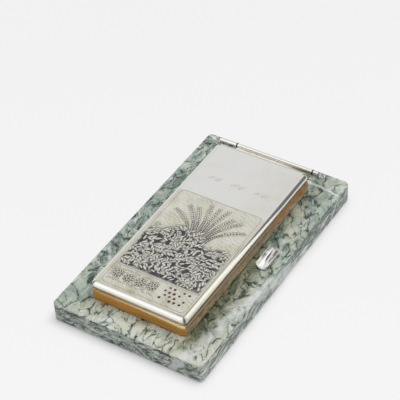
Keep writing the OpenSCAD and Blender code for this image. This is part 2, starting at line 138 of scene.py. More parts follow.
class NodeGraph:
    """Node tree of a material or of the world, with a short call for each kind of node that is used."""

    def __init__(self, owner: bpy.types.Material | bpy.types.World) -> None:
        """Empties the node tree of a material or world."""
        owner.use_nodes = True
        self.owner = owner
        self.tree = owner.node_tree
        self.tree.nodes.clear()

    @classmethod
    def named(cls, name: str) -> "NodeGraph":
        """Starts an empty material of that name."""
        return cls(bpy.data.materials.new(name))

    def feed(self, value: Value, socket: Socket) -> None:
        """Links a socket to another, or sets it to a constant.

        Args:
            value: Socket, number, vector or colour.
            socket: Input that takes it.
        """
        if isinstance(value, bpy.types.NodeSocket):
            self.tree.links.new(value, socket)
        elif isinstance(value, (tuple, list)) and len(value) == 3 and socket.type == "RGBA":
            socket.default_value = (*value, 1.0)
        else:
            socket.default_value = value

    def node(self, kind: str, options: dict[str, object] | None = None, **inputs: Value) -> bpy.types.Node:
        """Adds one node.

        Args:
            kind: Type of the node.
            options: Settings of the node.
            **inputs: Values of its inputs, with _ for a space in their names.

        Returns:
            The node.
        """
        made = self.tree.nodes.new(kind)
        for option, value in (options or {}).items():
            setattr(made, option, value)
        for name, value in inputs.items():
            self.feed(value, made.inputs[name.replace("_", " ")])
        return made

    def millimetres(self) -> Socket:
        """Object coordinates in millimetres."""
        coordinates = self.node("ShaderNodeTexCoord").outputs["Object"]
        return self.vector_calc("SCALE", coordinates, 1.0 / MM)

    def attribute(self, name: str) -> Socket:
        """Value of one of the mesh's own point attributes."""
        return self.node("ShaderNodeAttribute", {"attribute_name": name}).outputs["Fac"]

    def turned(
        self, vector: Value, scale: Sequence[float], degrees: Sequence[float] = (0, 0, 0), kind: str = "POINT"
    ) -> Socket:
        """Turns and stretches coordinates with a Mapping node.

        Args:
            vector: Coordinates.
            scale: Factor along each axis. A POINT mapping multiplies by it, and a TEXTURE one divides by it.
            degrees: Turn about each axis.
            kind: Kind of mapping, as the node names it.

        Returns:
            The new coordinates.
        """
        made = self.node("ShaderNodeMapping", {"vector_type": kind}, Vector=vector, Scale=scale)
        self.feed([math.radians(angle) for angle in degrees], made.inputs["Rotation"])
        return made.outputs[0]

    def cloud(
        self,
        vector: Value,
        size: float,
        detail: float = 2.0,
        roughness: float = 0.5,
        distortion: float = 0.0,
        output: str = "Fac",
    ) -> Socket:
        """Adds cloud noise.

        Args:
            vector: Coordinates, in millimetres.
            size: Size of one cloud, in millimetres.
            detail: Number of finer layers.
            roughness: Strength of the finer layers.
            distortion: How far the clouds are pulled about.
            output: What is read from them: Fac, one value of 0 to 1, or Color, three of them.

        Returns:
            The value or the three values.
        """
        made = self.node("ShaderNodeTexNoise", Vector=vector, Scale=1.0 / size, Detail=detail)
        self.feed(roughness, made.inputs["Roughness"])
        self.feed(distortion, made.inputs["Distortion"])
        return made.outputs[output]

    def cells(self, vector: Value, size: float, feature: str) -> bpy.types.Node:
        """Adds cells of a size in millimetres; feature is F1 or DISTANCE_TO_EDGE."""
        return self.node("ShaderNodeTexVoronoi", {"feature": feature}, Vector=vector, Scale=1.0 / size)

    def edge_distance(self, vector: Value, size: float) -> Socket:
        """Distance to the edge of the nearest cell, as a share of the cells' size."""
        return self.cells(vector, size, "DISTANCE_TO_EDGE").outputs["Distance"]

    def calc(self, operation: str, first: Value, second: Value = 0.0) -> Socket:
        """Adds one step of arithmetic on numbers.

        Args:
            operation: Kind of step, as the Math node names it.
            first: First number.
            second: Second number, where the step has one.

        Returns:
            The result.
        """
        made = self.node("ShaderNodeMath", {"operation": operation})
        self.feed(first, made.inputs[0])
        self.feed(second, made.inputs[1])
        return made.outputs[0]

    def chain(self, operation: str, values: Sequence[Value]) -> Socket:
        """Joins two or more numbers by one kind of step, from left to right."""
        return reduce(lambda first, second: self.calc(operation, first, second), values)

    def plus(self, *terms: Value) -> Socket:
        """Sum of two or more numbers."""
        return self.chain("ADD", terms)

    def minus(self, first: Value, second: Value) -> Socket:
        """First number less the second."""
        return self.calc("SUBTRACT", first, second)

    def rest_of(self, share: Value) -> Socket:
        """What a share leaves of 1."""
        return self.calc("SUBTRACT", 1.0, share)

    def times(self, *factors: Value) -> Socket:
        """Product of two or more numbers."""
        return self.chain("MULTIPLY", factors)

    def higher(self, *values: Value) -> Socket:
        """Greatest of two or more numbers."""
        return self.chain("MAXIMUM", values)

    def within(self, value: Value, least: float, most: float) -> Socket:
        """Value kept between two limits."""
        return self.higher(self.calc("MINIMUM", value, most), least)

    def vector_calc(self, operation: str, first: Value, second: Value) -> Socket:
        """Adds one step of arithmetic on vectors.

        Args:
            operation: Kind of step, as the Vector Math node names it.
            first: First vector.
            second: Second vector, or the number that a SCALE step takes.

        Returns:
            The result: a number for a dot product, and a vector otherwise.
        """
        made = self.node("ShaderNodeVectorMath", {"operation": operation})
        self.feed(first, made.inputs[0])
        self.feed(second, made.inputs[3] if operation == "SCALE" else made.inputs[1])
        return made.outputs["Value"] if operation == "DOT_PRODUCT" else made.outputs[0]

    def dot(self, vector: Value, direction: Sequence[float]) -> Socket:
        """How far a vector reaches along a direction."""
        return self.vector_calc("DOT_PRODUCT", vector, direction)

    def places(self, vector: Value) -> tuple[Socket, ...]:
        """Places along X, Y and Z."""
        return tuple(self.dot(vector, axis) for axis in (X_AXIS, Y_AXIS, Z_AXIS))

    def shifted(self, vector: Value, offset: Sequence[float]) -> Socket:
        """Coordinates moved by an offset, so that a cloud there differs from the same cloud elsewhere."""
        return self.vector_calc("ADD", vector, offset)

    def rise(self, value: Value, low: Value, high: Value, start: Value = 0.0, end: Value = 1.0) -> Socket:
        """Smooth step of a value.

        Args:
            value: Value that is followed.
            low: Where the step starts; above high, the step falls backwards.
            high: Where it ends.
            start: Result up to low.
            end: Result from high on.

        Returns:
            The result.
        """
        made = self.node("ShaderNodeMapRange", {"interpolation_type": "SMOOTHSTEP"})
        for socket, given in zip(made.inputs, (value, low, high, start, end)):
            self.feed(given, socket)
        return made.outputs[0]

    def mix(self, share: Value, first: Value, second: Value, blend: str = "MIX") -> Socket:
        """Mixes two colours.

        Args:
            share: Share of the second colour.
            first: First colour.
            second: Second colour.
            blend: Kind of mixing, as the node names it.

        Returns:
            The colour.
        """
        made = self.node("ShaderNodeMix", {"data_type": "RGBA", "blend_type": blend})
        for index, value in ((0, share), (6, first), (7, second)):
            self.feed(value, made.inputs[index])
        return made.outputs[2]

    def ramp(self, share: Value, stops: Sequence[tuple[float, Colour]]) -> Socket:
        """Adds a colour ramp.

        Args:
            share: Value that it is read at.
            stops: Place and colour of each stop.

        Returns:
            The colour.
        """
        made = self.node("ShaderNodeValToRGB")
        self.feed(share, made.inputs[0])
        elements = made.color_ramp.elements
        for _ in range(len(stops) - 2):
            elements.new(0.5)
        for element, (place, colour) in zip(elements, stops):
            element.position = place
            element.color = (*colour, 1.0)
        return made.outputs["Color"]

    def warped(self, vector: Value, size: float, reach: float, detail: float = 2.0) -> Socket:
        """Pulls coordinates about.

        Args:
            vector: Coordinates, in millimetres.
            size: Size of the clouds that pull them, in millimetres.
            reach: Twice the furthest that they are pulled along an axis, in millimetres.
            detail: Number of finer layers of the clouds.

        Returns:
            The new coordinates.
        """
        cloud = self.cloud(vector, size, detail, output="Color")
        centred = self.vector_calc("SUBTRACT", cloud, (0.5, 0.5, 0.5))
        return self.vector_calc("ADD", vector, self.vector_calc("SCALE", centred, reach))

    def contours(self, cloud: Value, levels: float, width: Value) -> Socket:
        """Lines where a cloud passes evenly spaced levels: 1 on a line, 0 further from it than a width."""
        away = self.calc("PINGPONG", self.times(cloud, levels), 0.5)
        return self.rest_of(self.rise(away, 0.0, width))

    def bump(self, height: Value, depth: float) -> Socket:
        """Bump from a height of 0 to 1 that stands for a depth in millimetres."""
        made = self.node("ShaderNodeBump", Strength=1.0, Distance=depth * MM, Height=height)
        return made.outputs["Normal"]

    def output(self, shader: Socket) -> bpy.types.Material | bpy.types.World:
        """Shows a shader as the surface of the material or world, and gives back that material or world."""
        self.node(f"ShaderNodeOutput{type(self.owner).__name__}", Surface=shader)
        return self.owner

    def surface(self, **sockets: Value) -> bpy.types.Material:
        """Finishes the material with one Principled shader and the values of its sockets."""
        return self.output(self.node("ShaderNodeBsdfPrincipled", **sockets).outputs[0])


# Finishes


@dataclass(frozen=True)
class Zone:
    """Soft-edged part of the plan: one step across the holder and one along it, in millimetres."""

    across: Step
    along: Step

    def share(self, graph: NodeGraph, across: Socket, along: Socket) -> Socket:
        """Product of the zone's two steps."""
        return graph.times(graph.rise(across, *self.across), graph.rise(along, *self.along))


@dataclass(frozen=True)
class Seam:
    """Pale seam in the stone: a flat sheet, given by its normal and its distance along it in millimetres."""

    normal: Triple
    distance: float
    half_width: float
    strength: float


@dataclass(frozen=True)
class Veins:
    """Dark veins of the marble: a net of cells, chips where the stone is broken, folds, and smoke along them.

    Widths are shares of the distance between cells, and the steps are taken on clouds of 0 to 1.
    """

    piece_size: float = 8.5
    chip_size: float = 3.2
    net_bend: Bend = (2.4, 1.2, 3.0)
    net_width: Step = (0.37, 0.62, 0.022, 0.085)
    net_core: float = 0.25
    unevenness: Cloud = (5.0, 3.0, 0.6)
    swell: Step = (0.36, 0.66, 0.25, 1.6)
    side_swell: Step = (0.0, 1.0, 1.0, 3.4)
    chip_core: float = 0.01
    chip_width: float = 0.10
    chipped: Step = (0.47, 0.62, 0.0, 0.8)
    fold_bend: Bend = (2.4, 1.0, 3.0)
    fold_cloud: Cloud = (15.0, 2.0, 0.45)
    fold_levels: float = 11.0
    fold_width: float = 0.07
    folded_cloud: Cloud = (17.0, 2.0)
    folded: Step = (0.46, 0.58, 0.0, 0.95)
    worn_thin: Step = (0.34, 0.58, 0.5, 1.0)
    smoke_reach: float = 5.0
    smoke_near: Step = (0.38, 0.62, 0.2, 0.75)
    smoke_cloud: Cloud = (5.0, 5.0, 0.68)
    smoke_where: Step = (0.44, 0.63)
    smoke_broken: Step = (0.38, 0.62, 0.2, 0.8)

    def build(
        self, graph: NodeGraph, bed: Socket, flow: Socket, tangle: Socket, spread: Socket, side: Socket
    ) -> tuple[Socket, Socket]:
        """Strength of the dark veins and of the smoke along them.

        The veins are the edges of large cells, of small cells where the stone is broken most, and the contour
        lines of a cloud, which give folds. Each has a width that changes along it.

        Args:
            graph: Node tree that they are added to.
            bed: Coordinates along the beds.
            flow: Coordinates that are bent a little.
            tangle: Coordinates that are bent more finely.
            spread: Cloud that is high where the stone is broken most.
            side: 1 on the faces that cut the beds, where the veins show thicker, and 0 on the top.

        Returns:
            The strength of the veins and that of the smoke, 0 to 1.
        """
        uneven = graph.cloud(graph.shifted(tangle, (0.0, 12.0, 7.0)), *self.unevenness)
        swell = graph.times(graph.rise(uneven, *self.swell), graph.rise(side, *self.side_swell))
        wide = graph.times(graph.rise(spread, *self.net_width), swell)
        edge = graph.edge_distance(graph.warped(flow, *self.net_bend), self.piece_size)
        net = graph.rest_of(graph.rise(edge, graph.times(wide, self.net_core), wide))
        chip = graph.edge_distance(tangle, self.chip_size)
        chips = graph.rest_of(graph.rise(chip, self.chip_core, graph.times(swell, self.chip_width)))
        chips = graph.times(chips, graph.rise(spread, *self.chipped))
        bent = graph.shifted(graph.warped(flow, *self.fold_bend), (31.0, 17.0, 5.0))
        folds = graph.cloud(bent, *self.fold_cloud)
        folds = graph.contours(folds, self.fold_levels, graph.times(swell, self.fold_width))
        folded = graph.cloud(graph.shifted(bed, (0.0, 40.0, 9.0)), *self.folded_cloud)
        folds = graph.times(folds, graph.rise(folded, *self.folded))
        veins = graph.times(graph.higher(net, chips, folds), graph.rise(uneven, *self.worn_thin))

        near = graph.rest_of(graph.rise(edge, 0.0, graph.times(wide, self.smoke_reach)))
        near = graph.times(near, graph.rise(uneven, *self.smoke_near))
        cloud = graph.cloud(graph.shifted(tangle, (0.0, 90.0, 0.0)), *self.smoke_cloud)
        cloud = graph.times(graph.rise(cloud, *self.smoke_where), graph.rise(spread, *self.smoke_broken))
        return veins, graph.higher(near, cloud)


@dataclass(frozen=True)
class Marble:
    """Pale green-grey marble in thin, folded beds: broken pieces in a dark net, smoke along it, pale seams.

    Places and sizes are in millimetres, and places are measured from the slab's middle.
    """

    name: str = "marble"
    green: Colour = srgb(172, 184, 174)
    grey: Colour = srgb(140, 155, 147)
    pale: Colour = srgb(204, 210, 201)
    cream: Colour = srgb(206, 200, 174)
    # Olive colour of the painted shade beside the lid, with a painted reflection of the wood in it.
    oiled: Colour = srgb(164, 161, 137)
    smoke: Colour = srgb(80, 100, 90)
    vein: Colour = srgb(22, 36, 30)
    vein_pale: Colour = srgb(58, 76, 68)
    seam_colour: Colour = srgb(216, 220, 218)
    veins: Veins = Veins()
    bed_size: Triple = (1.0, 1.5, 0.45)
    bed_tilt: Triple = (2.0, -3.0, 14.0)
    wide_bend: Bend = (20.0, 18.0)
    close_bend: Bend = (6.5, 6.0, 3.0)
    fine_bend: Bend = (2.4, 2.2, 3.0)
    cut_faces: Step = (15.8, 15.2)
    breaks: Cloud = (15.0, 3.0, 0.6)
    break_slope: Triple = (0.0, 0.0005, 0.0)
    calm: float = -0.065
    calm_front: Zone = Zone((-40.0, 0.0, 0.3, 1.8), (-80.0, -88.0))
    calm_right: Zone = Zone((34.0, 46.0), (-30.0, -10.0))
    broken: float = 0.14
    broken_inner: Zone = Zone((35.0, 39.0), (-14.0, -28.0))
    broken_outer: Zone = Zone((55.0, 47.0), (-104.0, -92.0))
    # Where the painted shade beside the lid's right side lies.
    oil_bend: Bend = (8.0, 4.0, 3.0)
    oil_reach: Step = (25.0, -20.0, 52.0, 56.0)
    oil_full: float = 40.0
    oil_start: Step = (34.0, 38.0)
    oil_front: Step = (30.0, -10.0, 0.45, 1.0)
    oil_end: Step = (-102.0, -78.0)
    soft_tone: Cloud = (8.0, 4.0, 0.65)
    piece_share: float = 0.5
    soft_share: float = 1.9
    tone_slope: Triple = (0.0, -0.0012, 0.0)
    clear_right: Step = (30.0, 58.0, 0.0, 0.05)
    clear_back: Step = (55.0, 90.0, 0.0, 0.10)
    # Painted light in the lid's shade: in front of the lid, most on the right, and behind its rear left.
    clear_front: Zone = Zone((-45.0, 5.0, -0.06, 0.38), (-81.0, -87.0))
    clear_rear: Zone = Zone((0.0, -26.0, 0.0, 0.22), (82.0, 90.0))
    right_face: Step = (57.0, 59.5)
    other_lift: float = 0.06
    # The right face's extra paling is painted light from the lamp, and more near its bottom, from the floor.
    right_lift: Step = (8.0, 2.0, 0.15, 0.30)
    tone_stops: tuple[float, ...] = (0.0, 0.20, 0.36, 0.56)
    warm_cloud: Cloud = (12.0, 4.0, 0.6)
    warm_slope: Triple = (0.0012, -0.0009, 0.0)
    warm_side: float = 0.2
    warm_where: Step = (0.42, 0.74, 0.0, 0.6)
    grain: Cloud = (0.9, 4.0, 0.75)
    grain_dark: Step = (0.52, 0.70, 0.0, 0.35)
    grain_pale: Step = (0.46, 0.32, 0.0, 0.25)
    gloss: Step = (0.3, 0.7, 0.12, 0.24)
    seam_bend: Bend = (12.0, 5.0, 4.0)
    seam_cloud: Cloud = (6.0, 4.0, 0.65)
    seam_broken: Step = (0.34, 0.54, 0.35, 1.0)
    seams: tuple[Seam, ...] = (
        Seam((0.982, -0.187, -0.60), 54.1, 4.4, 0.75),
        Seam((0.094, 0.778, -0.622), 62.6, 1.1, 0.8),
        Seam((0.80, 0.55, 0.24), -62.0, 1.4, 0.4),
    )

    def build(self) -> bpy.types.Material:
        """Builds the stone from warped cells and clouds that run through its whole thickness.

        The painted shade beside the lid, the painted light in front of and behind it, and the calm, broken and
        clear places lie on the top only.

        Returns:
            The material.
        """
        graph = NodeGraph.named(self.name)
        mm = graph.millimetres()
        across, along, height = graph.places(mm)
        bed = graph.turned(mm, self.bed_size, self.bed_tilt, "TEXTURE")
        flow = graph.warped(graph.warped(bed, *self.wide_bend), *self.close_bend)
        tangle = graph.warped(flow, *self.fine_bend)
        side = graph.rise(height, *self.cut_faces)
        top = graph.rest_of(side)
        spread = graph.cloud(graph.shifted(bed, (0.0, 0.0, 50.0)), *self.breaks)
        spread = graph.plus(spread, graph.dot(mm, self.break_slope))
        spread = graph.plus(spread, graph.times(self.brokenness(graph, across, along), top))
        ground = self.ground(graph, mm, flow, side)
        veins, smoke = self.veins.build(graph, bed, flow, tangle, spread, side)
        colour = graph.mix(smoke, ground, self.smoke)
        shade = graph.mix(graph.cloud(flow, 5.0, 2.0), self.vein, self.vein_pale)
        colour = self.seamed(graph, mm, graph.mix(veins, colour, shade))
        grain = graph.cloud(mm, *self.grain)
        colour = graph.mix(graph.rise(grain, *self.grain_dark), colour, self.smoke)
        colour = graph.mix(graph.rise(grain, *self.grain_pale), colour, self.pale)
        # Painted shade beside the lid's right side, tinted olive as a painted reflection of the wood.
        oil = graph.times(self.oil(graph, mm, along), top)
        colour = graph.mix(oil, colour, self.oiled, "MULTIPLY")
        relief = graph.plus(graph.times(veins, -0.5), graph.times(grain, 0.25))
        return graph.surface(
            Base_Color=colour,
            Roughness=graph.rise(graph.cloud(mm, 3.0, 3.0), *self.gloss),
            Specular_IOR_Level=0.45,
            Normal=graph.bump(relief, 0.03),
        )

    def brokenness(self, graph: NodeGraph, across: Socket, along: Socket) -> Socket:
        """What the top's calm and broken places add to the cloud of breaks.

        The stone is calm at the front and on the right, and broken beside the front half of the lid.

        Args:
            graph: Node tree that it is added to.
            across: Place across the slab.
            along: Place along the slab.

        Returns:
            The change, below 0 where the stone is calm.
        """
        front, right = (zone.share(graph, across, along) for zone in (self.calm_front, self.calm_right))
        inner, outer = (zone.share(graph, across, along) for zone in (self.broken_inner, self.broken_outer))
        calm = graph.times(graph.higher(front, right), self.calm)
        return graph.plus(calm, graph.times(inner, outer, self.broken))

    def oil(self, graph: NodeGraph, mm: Socket, along: Socket) -> Socket:
        """Share of painted shade on the stone beside the lid's right side.

        Its olive tint is a painted reflection of the wood. It fades outwards, is strongest in the front half,
        and ends before the slab's front end.

        Args:
            graph: Node tree that it is added to.
            mm: Coordinates.
            along: Place along the slab.

        Returns:
            The share, 0 to 1.
        """
        across = graph.dot(graph.warped(mm, *self.oil_bend), X_AXIS)
        reach = graph.rise(along, *self.oil_reach)
        fading = graph.times(graph.rise(across, reach, self.oil_full), graph.rise(across, *self.oil_start))
        front = graph.times(graph.rise(along, *self.oil_front), graph.rise(along, *self.oil_end))
        return graph.times(fading, front)

    def ground(self, graph: NodeGraph, mm: Socket, flow: Socket, side: Socket) -> Socket:
        """Colour between the veins.

        Each piece has its own tone under soft clouds. The top is clearer towards the right and the rear.
        In the lid's shade, painted light lifts it in front of the lid and behind its rear left.
        The side faces are paler, and the right face is painted lighter still, most near its bottom, as painted
        light from the lamp and the floor. Cream clouds gather to the front right.

        Args:
            graph: Node tree that it is added to.
            mm: Coordinates.
            flow: Coordinates that are bent a little.
            side: 1 on the faces that cut the beds, and 0 on the top.

        Returns:
            The colour.
        """
        across, along, height = graph.places(mm)
        piece = graph.cells(flow, self.veins.piece_size, "F1").outputs["Color"]
        soft = graph.minus(graph.cloud(flow, *self.soft_tone), 0.5)
        tone = graph.plus(graph.times(piece, self.piece_share), graph.times(soft, self.soft_share))
        tone = graph.plus(tone, graph.dot(mm, self.tone_slope))
        # Clearer stone towards the right and rear edges, and painted light in front of and behind the lid.
        front, rear = (zone.share(graph, across, along) for zone in (self.clear_front, self.clear_rear))
        edges = graph.plus(graph.rise(across, *self.clear_right), graph.rise(along, *self.clear_back))
        clear = graph.times(graph.plus(edges, graph.plus(front, rear)), graph.rest_of(side))
        # Side faces a little paler, and the right face painted lighter as painted light, most near its bottom.
        low = graph.rise(height, *self.right_lift)
        lift = graph.times(side, graph.rise(across, *self.right_face, self.other_lift, low))
        tone = graph.plus(tone, clear, lift)
        warm = graph.cloud(graph.shifted(flow, (70.0, 0.0, 0.0)), *self.warm_cloud)
        warm = graph.plus(warm, graph.dot(mm, self.warm_slope))
        warm = graph.rise(graph.minus(warm, graph.times(side, self.warm_side)), *self.warm_where)
        colours = (self.grey, self.green, self.green, self.pale)
        return graph.mix(warm, graph.ramp(tone, list(zip(self.tone_stops, colours))), self.cream)

    def seamed(self, graph: NodeGraph, mm: Socket, colour: Socket) -> Socket:
        """Lays the pale seams over a colour: each is strongest at its middle plane and breaks up along it.

        Args:
            graph: Node tree that they are added to.
            mm: Coordinates.
            colour: Colour under them.

        Returns:
            The colour with the seams.
        """
        for seam in self.seams:
            along = graph.dot(graph.warped(mm, *self.seam_bend), seam.normal)
            away = graph.calc("ABSOLUTE", graph.minus(along, seam.distance))
            inside = graph.rest_of(graph.rise(away, seam.half_width * 0.4, seam.half_width * 1.2))
            broken = graph.rise(graph.cloud(mm, *self.seam_cloud), *self.seam_broken)
            colour = graph.mix(graph.times(inside, broken, seam.strength), colour, self.seam_colour)
        return colour


@dataclass(frozen=True)
class WorkedSilver:
    """Silver of the cover: polished where it is bare, with brown and blue-black oxide where it is worked.

    On the rolled edge the same tones are painted shade and painted reflection.
    """

    name: str = "worked_silver"
    bright: Colour = (0.93, 0.925, 0.905)
    warm: Colour = (0.76, 0.735, 0.59)
    dull: Colour = (0.34, 0.325, 0.295)
    oxide: Colour = (0.070, 0.072, 0.088)
    rust: Colour = (0.13, 0.055, 0.04)
    stops: tuple[float, ...] = (0.0, 0.22, 0.55, 0.9)
    uneven: float = 0.9
    roughness: Step = (0.0, 0.8, 0.13, 0.42)
    smear_share: float = 0.08
    matt_from: Step = (0.05, 0.4)
    metal: Step = (0.3, 1.0, 1.0, 0.75)

    def build(self) -> bpy.types.Material:
        """Builds the metal from the mesh's attributes of rust and of oxide, painted shade and reflection.

        Returns:
            The material.
        """
        graph = NodeGraph.named(self.name)
        mm = graph.millimetres()
        cloud = graph.cloud(mm, 4.0, 4.0, 0.6)
        # Oxide on the panel, and painted shade and painted reflection on the rolled edge.
        patina = graph.attribute("patina")
        spread = graph.times(graph.minus(cloud, 0.5), graph.times(patina, self.uneven))
        depth = graph.within(graph.plus(patina, spread), 0.0, 1.0)
        colours = (self.bright, self.warm, self.dull, self.oxide)
        colour = graph.ramp(depth, list(zip(self.stops, colours)))
        colour = graph.mix(graph.attribute("rust"), colour, self.rust)
        smear = graph.cloud(graph.turned(mm, (1.0, 0.25, 1.0), (0, 0, 12)), 6.0, 3.0)
        rough = graph.plus(graph.rise(depth, *self.roughness), graph.times(smear, self.smear_share))
        fine = graph.cloud(mm, 0.35, 2.0)
        broad = graph.cloud(mm, 7.0, 1.0)
        worked = graph.times(fine, graph.rise(depth, *self.matt_from))
        height = graph.plus(graph.times(worked, 0.25), graph.times(broad, 0.35))
        return graph.surface(
            Base_Color=colour,
            Metallic=graph.rise(depth, *self.metal),
            Roughness=rough,
            Normal=graph.bump(height, 0.05),
        )


@dataclass(frozen=True)
class PlainMetal:
    """Polished or brushed metal with fine scratches along one axis."""

    name: str
    colour: Colour
    roughness: float
    along: Triple = (1.0, 1.0, 1.0)
    tarnish: Colour = (0.30, 0.27, 0.22)
    tarnish_share: float = 0.25

    def build(self) -> bpy.types.Material:
        """Builds the metal with clouds of tarnish and stretched scratches.

        Returns:
            The material.
        """
        graph = NodeGraph.named(self.name)
        mm = graph.millimetres()
        cloud = graph.rise(graph.cloud(mm, 3.5, 4.0, 0.65), 0.45, 0.8, 0.0, self.tarnish_share)
        scratch = graph.cloud(graph.turned(mm, self.along), 0.3, 3.0, 0.6)
        return graph.surface(
            Base_Color=graph.mix(cloud, self.colour, self.tarnish),
            Metallic=1.0,
            Roughness=graph.rise(scratch, 0.3, 0.7, self.roughness * 0.8, self.roughness * 1.3),
            Normal=graph.bump(scratch, 0.004),
        )


@dataclass(frozen=True)
class LeafSilver:
    """Silver of the moving hinge half: bright on the barrel, dull and pale on the flat leaf below a height.

    The leaf is painted darker along X as painted shade between the lid and the hinge.
    Its places are in millimetres.
    """

    name: str = "leaf_silver"
    bright: Colour = (0.90, 0.885, 0.84)
    dull: Colour = (0.78, 0.77, 0.72)
    # Colour of the painted shade on the leaf, also used for its darker clouds.
    dark: Colour = (0.17, 0.17, 0.13)
    flat: Step = (17.45, 17.25)
    darkening: Step = (4.0, 26.0)
    metal: Step = (0.0, 1.0, 0.82, 0.15)
    flat_roughness: float = 0.4

    def build(self) -> bpy.types.Material:
        """Builds the metal.

        Returns:
            The material.
        """
        graph = NodeGraph.named(self.name)
        mm = graph.millimetres()
        flat = graph.rise(graph.dot(mm, Z_AXIS), *self.flat)
        # Painted shade: the flat leaf darkens towards +X.
        dull = graph.mix(graph.rise(graph.dot(mm, X_AXIS), *self.darkening), self.dull, self.dark)
        cloud = graph.cloud(mm, 3.0, 4.0, 0.6)
        dull = graph.mix(graph.rise(cloud, 0.4, 0.7, 0.0, 0.2), dull, self.dark)
        scratch = graph.cloud(graph.turned(mm, (0.08, 1.0, 1.0)), 0.3, 3.0, 0.6)
        rough = graph.plus(graph.rise(scratch, 0.3, 0.7, 0.13, 0.2), graph.times(flat, self.flat_roughness))
        return graph.surface(
            Base_Color=graph.mix(flat, self.bright, dull),
            Metallic=graph.rise(flat, *self.metal),
            Roughness=rough,
            Normal=graph.bump(scratch, 0.004),
        )


@dataclass(frozen=True)
class WoodTone:
    """Colours of one wood surface, from the pale wood of a ring to its dark line."""

    pale: Colour
    middle: Colour
    deep: Colour


